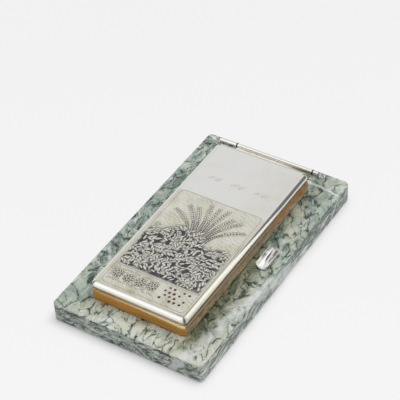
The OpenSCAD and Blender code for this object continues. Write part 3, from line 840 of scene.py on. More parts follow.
@dataclass(frozen=True)
class Wood:
    """Wood with grain along one axis; places are in millimetres.

    The wood of the lid's frame has a second set of tones. Its right, left and rear sides keep the first,
    greyer set, which stands for their shade, and are painted paler towards the bottom and darker towards the
    top, as painted light and shade, darkest under the cover's edge. They are polished, and tinted orange
    towards the rear of their upper part, where the polish is thinner. All its other faces have the second,
    lit orange set, and the front one has a painted highlight on pale bare wood along its upper edge.
    """

    name: str
    grain: Triple
    tone: WoodTone
    # Lit orange tones for all faces but the sides, whose greyer tones stand for their shade.
    front: WoodTone | None = None
    ring_cloud: Cloud = (2.0, 4.0, 0.62, 0.4)
    pore_cloud: Cloud = (0.28, 2.0, 0.6)
    ring_stops: tuple[float, ...] = (0.28, 0.44, 0.58, 0.76)
    front_end: float = -84.3
    rear_tint: Colour = srgb(168, 108, 52)
    # Painted light: the sides are paler towards the bottom, in clouds.
    haze: Colour = srgb(208, 196, 156)
    haze_stretch: float = 0.4
    haze_where: Step = (0.40, 0.62)
    haze_height: Step = (25.0, 17.5, 0.0, 0.85)
    # Painted shade: the sides are darker towards the top, in clouds, and darkest under the cover's edge.
    grime: Colour = srgb(62, 54, 36)
    grime_where: Step = (0.47, 0.35)
    grime_height: Step = (25.0, 22.0, 0.2, 0.6)
    dark_top: Step = (21.5, 24.2, 0.0, 0.75)
    # Where the sides' upper rear is tinted orange and its polish thinner.
    worn_along: Step = (12.0, 40.0)
    worn_height: Step = (18.6, 22.0)
    worn_rings: Step = (0.34, 0.58, 0.3, 1.0)
    underside: Step = (16.65, 16.8)
    right_side: Step = (36.4, 37.0)
    left_side: Step = (-37.4, -38.0)
    rear_side: Step = (81.6, 82.2)
    other_polish: float = 0.3
    bare_top: Step = (24.3, 24.7, 0.0, 0.85)
    # Painted highlight on pale bare wood along the front face's upper edge.
    rubbed: Colour = srgb(255, 232, 184)
    rubbed_from: float = 24.5
    rubbed_drop: Step = (0.0, 34.0, 0.0, 0.8)
    rubbed_right: Step = (-30.0, 20.0, 0.3, 1.0)
    polish: float = 0.0
    polish_roughness: float = 0.06
    polish_index: float = 3.0
    gloss: float = 0.38

    def build(self) -> bpy.types.Material:
        """Builds the wood from stretched rings and pores.

        Returns:
            The material.
        """
        graph = NodeGraph.named(self.name)
        straight = graph.millimetres()
        mm = graph.warped(straight, 22.0, 3.0)
        rings = graph.cloud(graph.turned(mm, self.grain), *self.ring_cloud)
        pores = graph.cloud(graph.turned(mm, self.grain), *self.pore_cloud)
        fleck = graph.rise(pores, 0.56, 0.72)
        colour = self.toned(graph, self.tone, rings, fleck)
        coat: Value = 0.0
        if self.front is not None:
            colour, coat = self.lid_sides(graph, straight, mm, rings, fleck, colour)
        relief = graph.minus(graph.times(rings, 0.3), graph.times(fleck, 0.5))
        return graph.surface(
            Base_Color=colour,
            Roughness=self.gloss,
            Specular_IOR_Level=0.4,
            Coat_Weight=coat,
            Coat_Roughness=self.polish_roughness,
            Coat_IOR=self.polish_index,
            Normal=graph.bump(relief, 0.05),
        )

    def lid_sides(
        self, graph: NodeGraph, straight: Socket, mm: Socket, rings: Socket, fleck: Socket, colour: Socket
    ) -> tuple[Socket, Socket]:
        """Colours the sides of the lid's frame and says where they are polished.

        Their colour holds painted light low down and painted shade high up and under the cover.
        The polish lies on the right side, thinner on the left and rear sides, and not inside or underneath.

        Args:
            graph: Node tree that they are added to.
            straight: Object coordinates in millimetres.
            mm: The same, bent as the grain is.
            rings: Cloud of the year rings.
            fleck: Share of the pores.
            colour: Colour under the polish.

        Returns:
            The colour and the weight of the polish.
        """
        across, along, height = graph.places(straight)
        drawn = tuple(max(share, self.haze_stretch) for share in self.grain)
        cloud = graph.cloud(graph.turned(straight, drawn), 3.4, 3.0, 0.6)
        # Painted light, paler towards the bottom.
        haze = graph.times(graph.rise(cloud, *self.haze_where), graph.rise(height, *self.haze_height))
        colour = graph.mix(haze, colour, self.haze)
        # Painted shade, darker towards the top and darkest under the cover's edge.
        grime = graph.times(graph.rise(cloud, *self.grime_where), graph.rise(height, *self.grime_height))
        colour = graph.mix(grime, colour, self.grime)
        colour = graph.mix(graph.rise(height, *self.dark_top), colour, self.tone.deep)
        # Orange tint towards the rear of the sides' upper part, where the polish is also thinner.
        worn = graph.times(graph.rise(along, *self.worn_along), graph.rise(height, *self.worn_height))
        worn = graph.times(worn, graph.rise(rings, *self.worn_rings))
        colour = graph.mix(graph.times(worn, 0.9), colour, self.rear_tint)
        above = graph.rise(height, *self.underside)
        right = graph.times(graph.rise(across, *self.right_side), above)
        others = graph.higher(graph.rise(across, *self.left_side), graph.rise(along, *self.rear_side))
        polished = graph.higher(right, graph.times(others, above, self.other_polish))
        # Lit orange tones on all faces but the sides; the sides keep the greyer tones that stand for their
        # shade.
        lit_front = self.toned(graph, self.front, rings, fleck)
        colour = graph.mix(polished, lit_front, colour)
        at_front = graph.rise(along, self.front_end + 0.3, self.front_end)
        # Painted highlight on pale bare wood along the front face's upper edge.
        colour = graph.mix(at_front, colour, self.rubbed_edge(graph, mm, lit_front))
        bare = graph.higher(graph.times(worn, 0.7), graph.rise(height, *self.bare_top))
        left = graph.rest_of(graph.higher(at_front, bare))
        return colour, graph.times(left, self.polish, polished)

    def toned(self, graph: NodeGraph, tone: WoodTone, rings: Socket, fleck: Socket) -> Socket:
        """Colours the rings and pores in one set of tones.

        Args:
            graph: Node tree that the colour is added to.
            tone: The tones.
            rings: Cloud of the year rings.
            fleck: Share of the pores.

        Returns:
            The colour.
        """
        colours = (tone.deep, tone.middle, tone.middle, tone.pale)
        colour = graph.ramp(rings, list(zip(self.ring_stops, colours)))
        return graph.mix(graph.times(fleck, 0.5), colour, tone.deep)

    def rubbed_edge(self, graph: NodeGraph, mm: Socket, colour: Socket) -> Socket:
        """Lays a painted highlight on pale bare wood over a colour, above an uneven line that is lower to the
        right.

        Args:
            graph: Node tree that it is added to.
            mm: Coordinates, bent as the grain is.
            colour: Colour under it.

        Returns:
            The colour.
        """
        across = graph.dot(mm, X_AXIS)
        ragged = graph.cloud(graph.turned(mm, self.grain), 1.2, 3.0)
        height = graph.dot(mm, Z_AXIS)
        height = graph.plus(height, graph.times(graph.minus(ragged, 0.5), 0.8))
        height = graph.plus(height, graph.rise(across, *self.rubbed_drop))
        share = graph.rise(height, self.rubbed_from - 0.3, self.rubbed_from + 0.15)
        return graph.mix(graph.times(share, graph.rise(across, *self.rubbed_right)), colour, self.rubbed)


@dataclass(frozen=True)
class Felt:
    """Pressed wool felt: short fibres that lie all ways, with a soft sheen."""

    name: str
    colour: Colour
    light: Colour
    fibre: Cloud = (0.22, 3.0, 0.7, 1.0)

    def build(self) -> bpy.types.Material:
        """Builds the felt from two layers of stretched noise that cross.

        Returns:
            The material.
        """
        graph = NodeGraph.named(self.name)
        mm = graph.millimetres()
        one = graph.cloud(graph.turned(mm, (1.0, 0.15, 1.0), (0, 0, 35)), *self.fibre)
        two = graph.cloud(graph.turned(mm, (0.15, 1.0, 1.0), (0, 0, 20)), *self.fibre)
        fibres = graph.higher(one, two)
        tuft = graph.cloud(mm, 2.4, 3.0)
        share = graph.times(graph.rise(fibres, 0.5, 0.75), graph.rise(tuft, 0.3, 0.7, 0.4, 0.9))
        return graph.surface(
            Base_Color=graph.mix(share, self.colour, self.light),
            Roughness=0.95,
            Specular_IOR_Level=0.1,
            Sheen_Weight=0.35,
            Sheen_Roughness=0.5,
            Normal=graph.bump(fibres, 0.12),
        )


@dataclass(frozen=True)
class BindingCloth:
    """Plain-woven cloth tape: threads over and under each other."""

    name: str = "binding_cloth"
    warp: Colour = srgb(64, 80, 72)
    weft: Colour = srgb(40, 54, 48)
    lint: Colour = srgb(110, 122, 112)
    thread: float = 0.45

    def build(self) -> bpy.types.Material:
        """Builds the weave from two sine waves: the sign of their product says which thread is on top.

        Returns:
            The material.
        """
        graph = NodeGraph.named(self.name)
        mm = graph.millimetres()
        turns = [graph.times(graph.dot(mm, way), math.tau / self.thread) for way in (X_AXIS, (0.0, 1.0, 1.0))]
        product = graph.times(*(graph.calc("SINE", turn) for turn in turns))
        over = graph.rise(product, -0.2, 0.2)
        fuzz = graph.cloud(mm, 0.3, 3.0)
        colour = graph.mix(over, self.warp, self.weft)
        colour = graph.mix(graph.rise(fuzz, 0.5, 0.8, 0.0, 0.4), colour, self.lint)
        height = graph.plus(graph.calc("ABSOLUTE", product), graph.times(fuzz, 0.4))
        return graph.surface(
            Base_Color=colour,
            Roughness=0.85,
            Specular_IOR_Level=0.25,
            Sheen_Weight=0.15,
            Normal=graph.bump(height, 0.06),
        )


@dataclass(frozen=True)
class Paper:
    """Uncoated paper or board: faint fibres, and thin lines where the sheets' edges show."""

    name: str
    colour: Colour
    shade: Colour
    sheet: float = 0.1
    edge_share: float = 0.5

    def build(self) -> bpy.types.Material:
        """Builds the paper, with lines across the height on its upright sides only.

        Returns:
            The material.
        """
        graph = NodeGraph.named(self.name)
        mm = graph.millimetres()
        fibre = graph.cloud(graph.turned(mm, (1.0, 0.35, 1.0), (0, 0, 15)), 0.5, 4.0, 0.7)
        lines = graph.cloud(graph.turned(mm, (0.03, 0.03, 1.0)), self.sheet, 1.0)
        facing = graph.node("ShaderNodeNewGeometry").outputs["True Normal"]
        level = graph.calc("ABSOLUTE", graph.dot(facing, Z_AXIS))
        side = graph.rise(level, 0.3, 0.7, self.edge_share, 0.0)
        shade = graph.times(graph.rise(lines, 0.35, 0.65), side)
        colour = graph.mix(graph.rise(fibre, 0.45, 0.8, 0.0, 0.25), self.colour, self.shade)
        colour = graph.mix(shade, colour, self.shade)
        return graph.surface(
            Base_Color=colour, Roughness=0.9, Specular_IOR_Level=0.2, Normal=graph.bump(fibre, 0.015)
        )


@dataclass(frozen=True)
class Moulded:
    """Moulded or pressed plastic with a fine mottle."""

    name: str
    colour: Colour
    roughness: float

    def build(self) -> bpy.types.Material:
        """Builds the plastic with a fine mottle in colour and gloss.

        Returns:
            The material.
        """
        graph = NodeGraph.named(self.name)
        mottle = graph.cloud(graph.millimetres(), 0.5, 3.0)
        dark: Colour = tuple(0.7 * c for c in self.colour)
        return graph.surface(
            Base_Color=graph.mix(graph.rise(mottle, 0.3, 0.8, 0.0, 0.5), self.colour, dark),
            Roughness=graph.rise(mottle, 0.2, 0.8, self.roughness * 0.8, self.roughness * 1.2),
            Normal=graph.bump(mottle, 0.02),
        )


# One wood's tones twice: greyer for the lid frame's sides, standing for their shade, and lit orange elsewhere.
SHADED_SIDE_TONE = WoodTone(srgb(202, 176, 134), srgb(178, 152, 112), srgb(120, 88, 56))
LIT_FRONT_TONE = WoodTone(srgb(232, 178, 88), srgb(208, 146, 58), srgb(150, 94, 34))


class Finish(Enum):
    """The finishes of the holder."""

    MARBLE = Marble()
    WORKED_SILVER = WorkedSilver()
    SILVER = PlainMetal("polished_silver", (0.90, 0.885, 0.84), 0.16, (0.08, 1.0, 1.0))
    REST_SILVER = PlainMetal("rest_silver", (0.91, 0.90, 0.87), 0.05, (1.0, 0.04, 1.0))
    LEAF = LeafSilver()
    STEEL = PlainMetal("turned_steel", (0.56, 0.55, 0.53), 0.28)
    BRASS = PlainMetal("brushed_brass", (0.78, 0.58, 0.27), 0.3, (0.05, 1.0, 1.0), (0.35, 0.24, 0.10))
    WOOD_ACROSS = Wood("rail_wood_across", (0.06, 1.0, 1.0), SHADED_SIDE_TONE, LIT_FRONT_TONE, polish=1.0)
    WOOD_ALONG = Wood("rail_wood_along", (1.0, 0.06, 1.0), SHADED_SIDE_TONE, LIT_FRONT_TONE, polish=1.0)
    BOARD = Wood(
        "board_wood",
        (1.0, 0.05, 1.0),
        WoodTone(srgb(216, 182, 132), srgb(198, 160, 110), srgb(168, 128, 82)),
        gloss=0.6,
    )
    BASE_FELT = Felt("green_felt", srgb(40, 60, 50), srgb(70, 92, 78))
    LINING = Felt("red_felt", srgb(104, 36, 32), srgb(138, 62, 54))
    CLOTH = BindingCloth()
    SHEETS = Paper("writing_paper", srgb(240, 236, 224), srgb(206, 200, 184))
    CARD = Paper("grey_board", srgb(150, 138, 118), srgb(112, 102, 86), 0.25, 0.7)
    NYLON = Moulded("nylon", srgb(226, 222, 210), 0.45)
    FIBRE = Moulded("black_fibre", srgb(34, 34, 36), 0.6)


@cache
def material_of(finish: Finish) -> bpy.types.Material:
    """Material of a finish, made once, when a piece first asks for it."""
    return finish.value.build()


# Surfaces


@dataclass
class Surface:
    """Vertices in millimetres, faces, and point attributes of one surface or of several joined."""

    vertices: np.ndarray
    faces: list[Face]
    attributes: dict[str, np.ndarray] = field(default_factory=dict)

    def joined(self, *others: "Surface") -> "Surface":
        """Puts several surfaces into one; an attribute that a surface lacks is 0 there.

        Args:
            *others: The surfaces that join this one.

        Returns:
            The joined surface.
        """
        parts = (self, *others)
        names = {name for part in parts for name in part.attributes}
        starts = np.cumsum([0] + [len(part.vertices) for part in parts])
        faces = [
            tuple(int(index + start) for index in face)
            for part, start in zip(parts, starts)
            for face in part.faces
        ]
        attributes = {
            name: np.concatenate([part.attributes.get(name, np.zeros(len(part.vertices))) for part in parts])
            for name in names
        }
        return Surface(np.concatenate([part.vertices for part in parts]), faces, attributes)

    def moved(self, offset: Sequence[float]) -> "Surface":
        """The same surface, moved by an offset in millimetres."""
        return Surface(self.vertices + np.array(offset, dtype=float), self.faces, self.attributes)


def grid_faces(rows: int, columns: int, wrap: bool = False) -> list[Face]:
    """Quads of a grid whose points are numbered row by row.

    Args:
        rows: Number of rows.
        columns: Number of points in a row.
        wrap: Whether each row closes on itself.

    Returns:
        The quads, each turned so that it faces +Z where columns run along X and rows along Y.
    """
    across = np.arange(columns if wrap else columns - 1)
    row = np.arange(rows - 1)[:, None] * columns
    a = row + across
    b = row + (across + 1) % columns
    quads = np.stack([a, b, b + columns, a + columns], axis=-1).reshape(-1, 4)
    return [tuple(q) for q in quads.tolist()]


def lofted(rings: np.ndarray, cap_first: bool = True, cap_last: bool = True) -> Surface:
    """Skins a stack of closed rings.

    Args:
        rings: Points of shape (rings, points, 3). Seen from the last ring's side, each runs anticlockwise.
        cap_first: Whether the first ring is closed with one face.
        cap_last: Whether the last ring is closed with one face.

    Returns:
        The closed surface, which faces outwards.
    """
    count, points = rings.shape[:2]
    faces = grid_faces(count, points, wrap=True)
    if cap_first:
        faces.append(tuple(range(points - 1, -1, -1)))
    if cap_last:
        faces.append(tuple(range((count - 1) * points, count * points)))
    return Surface(rings.reshape(-1, 3), faces)


def rounded_outline(
    width: float, length: float, radius: float, corner_steps: int = 8, spacing: float = 4.0
) -> tuple[np.ndarray, np.ndarray]:
    """Outline of a rectangle with round corners: straight sides joined by quarter circles.

    Args:
        width: Size along X.
        length: Size along Y.
        radius: Radius of the corners.
        corner_steps: Number of steps round each corner.
        spacing: Rough distance of the points along the straight sides.

    Returns:
        Points and their outward normals, each of shape (n, 2), anticlockwise.
    """
    half = np.array([width / 2 - radius, length / 2 - radius])
    points, normals = [], []
    for quarter, (sx, sy) in enumerate(((1, 1), (-1, 1), (-1, -1), (1, -1))):
        angle = math.pi / 2 * (quarter + np.arange(corner_steps + 1) / corner_steps)
        arc = np.stack([np.cos(angle), np.sin(angle)], axis=1)
        points.append(half * (sx, sy) + radius * arc)
        normals.append(arc)
        side = 2 * half[0 if quarter % 2 == 0 else 1]
        steps = max(1, round(side / spacing))
        share = np.arange(1, steps)[:, None] / steps
        step = np.array([(-1, 0), (0, -1), (1, 0), (0, 1)][quarter], dtype=float)
        points.append(points[-1][-1] + share * side * step)
        normals.append(np.repeat(arc[-1:], steps - 1, axis=0))
    return np.concatenate(points), np.concatenate(normals)


def inset_rings(outline: np.ndarray, normals: np.ndarray, profile: np.ndarray) -> np.ndarray:
    """Carries a profile round an outline: each ring is the outline moved inwards by an inset, at a height.

    Args:
        outline: Points of shape (n, 2).
        normals: Outward normals of shape (n, 2).
        profile: Rows of (inset, height), of shape (m, 2).

    Returns:
        Rings of shape (m, n, 3).
    """
    plan = outline[None] - profile[:, None, :1] * normals[None]
    height = np.broadcast_to(profile[:, None, 1:], (*plan.shape[:2], 1))
    return np.concatenate([plan, height], axis=2)


def arc_profile(
    centre: tuple[float, float], radius: float, start: float, end: float, steps: int
) -> np.ndarray:
    """Part of a circle as rows of (inset, height); 0 degrees points outwards and 90 up."""
    angle = np.radians(np.linspace(start, end, steps + 1))
    return np.stack([centre[0] - radius * np.cos(angle), centre[1] + radius * np.sin(angle)], axis=1)


def eased_profile(low: float, high: float, ease: float, hold: float, steps: int) -> np.ndarray:
    """Upright side between two rounded rims, with a ring on each flat face that keeps it flat.

    Args:
        low: Height of the underside.
        high: Height of the top.
        ease: Radius of the rims.
        hold: Distance from a rim to the ring on the flat face.
        steps: Number of steps round each rim.

    Returns:
        Rows of (inset, height), from the underside up.
    """
    lower = arc_profile((ease, low + ease), ease, -90, 0, steps)
    upper = arc_profile((ease, high - ease), ease, 0, 90, steps)
    return np.concatenate([[(ease + hold, low)], lower, upper, [(ease + hold, high)]])


def soft_block(
    width: float, length: float, low: float, high: float, corner: float, ease: float, hold: float = 0.3
) -> Surface:
    """Flat block with round corners and rounded rims, its middle at the origin in plan.

    Args:
        width: Size along X.
        length: Size along Y.
        low: Height of the underside.
        high: Height of the top.
        corner: Radius of the upright corners.
        ease: Radius of the rims.
        hold: Distance from the rim to the ring that keeps the flat faces flat.

    Returns:
        The closed surface.
    """
    outline, normals = rounded_outline(width, length, corner)
    return lofted(inset_rings(outline, normals, eased_profile(low, high, ease, hold, 4)))


def cylinder_grid(radius: float, low: float, high: float, ease: float, points: int = 32) -> Surface:
    """Upright disc with rounded rims at the origin: a profile turned about Z.

    Args:
        radius: Radius of the disc.
        low: Height of the underside.
        high: Height of the top.
        ease: Radius of the rims.
        points: Number of points round it.

    Returns:
        The closed surface.
    """
    angle = math.tau * np.arange(points) / points
    circle = np.stack([np.cos(angle), np.sin(angle)], axis=1)
    return lofted(inset_rings(radius * circle, circle, eased_profile(low, high, ease, 0.3, 3)[1:]))


def make_piece(
    name: str,
    surface: Surface,
    body: str,
    finish: Finish,
    replaces: Sequence[str] = (),
    smooth: bool = True,
) -> bpy.types.Object:
    """Makes one piece.

    Args:
        name: Name of the piece.
        surface: Its surface, in millimetres.
        body: CAD body that it rides on.
        finish: Finish that it is dressed in.
        replaces: CAD nodes that it stands for.
        smooth: Whether it is shaded smooth.

    Returns:
        The new object.
    """
    mesh = bpy.data.meshes.new(name)
    mesh.from_pydata((surface.vertices * MM).tolist(), [], surface.faces)
    for key, values in surface.attributes.items():
        layer = mesh.attributes.new(key, "FLOAT", "POINT")
        layer.data.foreach_set("value", values.astype(np.float32))
    mesh.polygons.foreach_set("use_smooth", np.full(len(mesh.polygons), smooth))
    mesh.update()
    made = placed(name, mesh)
    mesh.materials.append(material_of(finish))
    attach(made, body)
    if replaces:
        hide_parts(*replaces)
    log.info("%s: %d vertices, %d faces, on %s", name, len(mesh.vertices), len(mesh.polygons), body)
    return made


def dress(node: str, finish: Finish) -> None:
    """Gives a CAD node its finish in every slot.

    Args:
        node: Name of the node.
        finish: Its finish.
    """
    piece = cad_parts[node]
    if not piece.data.materials:
        piece.data.materials.append(material_of(finish))
    for index in range(len(piece.material_slots)):
        piece.material_slots[index].material = material_of(finish)
    log.info("%s: kept from the frame, dressed in %s", node, finish.value.name)


# The marble slab and its felt


@dataclass
class Slab:
    """The stone slab, with eased and slightly worn edges, and the felt under it."""

    corner: float = 3.5
    ease: float = 0.7
    hold: float = 0.6
    wear: float = 0.12
    felt_corner: float = 3.0
    felt_ease: float = 0.25

    def build(self) -> None:
        """Makes the slab and the felt."""
        box = Box.of("marble_slab")
        outline, normals = rounded_outline(box.size[0], box.size[1], self.corner, 10, 1.2)
        profile = eased_profile(box.low[2], box.high[2], self.ease, self.hold, 5)
        rings = inset_rings(outline, normals, profile)
        rings[:, :, :2] -= self.worn(rings)[..., None] * normals[None]
        rings[:, :, :2] += box.centre[:2]
        stone = lofted(rings)
        make_piece("slab_stone", stone, "base", Finish.MARBLE, ("marble_slab",))
        self.build_felt()

    def worn(self, rings: np.ndarray) -> np.ndarray:
        """Wear of the rims: a sum of three sine waves of the place, strongest at the rounded rims.

        Args:
            rings: Points of the slab's side.

        Returns:
            How far each point moves in, in millimetres.
        """
        x, y, z = rings[..., 0], rings[..., 1], rings[..., 2]
        wave = np.sin(0.9 * x + 0.4 * y) + 0.7 * np.sin(0.37 * x - 1.3 * y + 2.0)
        wave += 0.5 * np.sin(2.3 * x + 1.9 * y)
        middle = rings[:, 0, 2].mean()
        rim = np.abs(z - middle) / np.abs(z - middle).max()
        return self.wear * np.clip(wave, 0.0, None) * rim**6

    def build_felt(self) -> None:
        """Makes the felt sheet under the slab."""
        box = Box.of("base_felt")
        width, length = box.size[:2]
        felt = soft_block(width, length, 0.0, box.size[2], self.felt_corner, self.felt_ease)
        felt = felt.moved((*box.centre[:2], box.low[2]))
        piece = make_piece("slab_felt", felt, "base", Finish.BASE_FELT, ("base_felt",))


# The worked silver cover


@dataclass
class Relief:
    """Worked surface of the cover: height, patina and red stain, built up motif by motif on a grid of points.

    The grid's rows run along the lid (v) and its columns across it (u), both from the lid's middle.
    """

    u: np.ndarray
    v: np.ndarray
    height: np.ndarray = field(init=False)
    patina: np.ndarray = field(init=False)
    rust: np.ndarray = field(init=False)

    def __post_init__(self) -> None:
        """Starts with a flat, bright sheet."""
        shape = (len(self.v), len(self.u))
        self.height, self.patina, self.rust = np.zeros(shape), np.zeros(shape), np.zeros(shape)

    def window(self, x: float, y: float, reach: float) -> tuple[slice, slice]:
        """Part of the grid round a point.

        Args:
            x: Place of the point across the lid.
            y: Place of the point along the lid.
            reach: Distance to each side.

        Returns:
            The rows and the columns of that part.
        """
        rows = slice(*np.searchsorted(self.v, (y - reach, y + reach)))
        columns = slice(*np.searchsorted(self.u, (x - reach, x + reach)))
        return rows, columns

    def leaf(
        self,
        x: float,
        y: float,
        turn: float,
        length: float,
        width: float,
        rise: float,
        skin: float,
        rim: float,
    ) -> None:
        """Raises one pointed leaf over what is there.

        Half its width is w/2 sin(pi t)^0.8 at a share t of its length, and it is bowed by w/4 cos(pi t). One
        that lies off the grid is left out.

        Args:
            x: Place of its middle across the lid.
            y: Place of its middle along the lid.
            turn: Direction of its tip, in radians from +X.
            length: Length.
            width: Greatest width.
            rise: Height over what lies under it.
            skin: Patina of the leaf itself.
            rim: Patina of the line chased round it.
        """
        at = self.window(x, y, length * 0.8)
        dx, dy = self.u[None, at[1]] - x, self.v[at[0], None] - y
        if not dx.size or not dy.size:
            return
        along = (dx * math.cos(turn) + dy * math.sin(turn)) / length + 0.5
        across = -dx * math.sin(turn) + dy * math.cos(turn) + 0.25 * width * np.cos(math.pi * along)
        half = width / 2 * np.sin(math.pi * np.clip(along, 0, 1)) ** 0.8
        half = np.where((along > 0) & (along < 1), half, -1.0)
        inside = half - np.abs(across)
        body = np.clip(inside / (width / 2), 0.0, 1.0)
        under = float(self.height[at].mean())
        crease = np.exp(-((across / (width * 0.13)) ** 2))
        shape = under + rise * (body**0.6 - 0.4 * crease + 0.5 * (along - 0.5))
        covers = inside > 0
        self.height[at] = np.where(covers, shape, self.height[at])
        self.patina[at] = np.where(covers, skin + 0.12 * crease, self.patina[at])
        line = np.exp(-((inside / 0.24) ** 2)) * (half > -1.0) * (inside < 0.15)
        self.patina[at] = np.maximum(self.patina[at], rim * line)

    def line(self, path: np.ndarray, width: float, rise: float, patina: float, flank: float = 0.0) -> None:
        """Raises or sinks a soft line along a path: a bell curve of the distance from it.

        Args:
            path: Points of shape (n, 2).
            width: Width of the line.
            rise: Height; below 0 the line is cut in.
            patina: Patina on the line.
            flank: Patina on both sides of it.
        """
        for (x0, y0), (x1, y1) in zip(path[:-1], path[1:]):
            reach = math.hypot(x1 - x0, y1 - y0) / 2 + 3 * width
            at = self.window((x0 + x1) / 2, (y0 + y1) / 2, reach)
            px, py = self.u[None, at[1]], self.v[at[0], None]
            dx, dy = x1 - x0, y1 - y0
            share = np.clip(((px - x0) * dx + (py - y0) * dy) / (dx * dx + dy * dy), 0.0, 1.0)
            away = np.hypot(px - x0 - share * dx, py - y0 - share * dy)
            strength = np.exp(-((away / (width / 2)) ** 2))
            if rise >= 0:
                self.height[at] = np.maximum(self.height[at], rise * strength)
                self.patina[at] = np.minimum(self.patina[at], 1.0 - (1.0 - patina) * strength)
            else:
                self.height[at] = np.minimum(self.height[at], rise * strength)
                self.patina[at] = np.maximum(self.patina[at], patina * strength)
            sides = flank * np.exp(-(((away - 0.85 * width) / (0.4 * width)) ** 2))
            self.patina[at] = np.maximum(self.patina[at], sides * (strength < 0.5))

    def dot(self, x: float, y: float, radius: float, rise: float, patina: float, rust: float = 0.0) -> None:
        """Raises or sinks a round dot with soft edges.

        Args:
            x: Place across the lid.
            y: Place along the lid.
            radius: Radius.
            rise: Height; below 0 the dot is punched in.
            patina: Patina in it.
            rust: Share of red stain in it.
        """
        at = self.window(x, y, radius * 2.5)
        away = np.hypot(self.u[None, at[1]] - x, self.v[at[0], None] - y) / radius
        strength = 1.0 - smooth_step(0.6, 1.25, away)
        self.height[at] += rise * strength
        self.patina[at] = np.maximum(self.patina[at], patina * strength)
        self.rust[at] = np.maximum(self.rust[at], rust * strength)


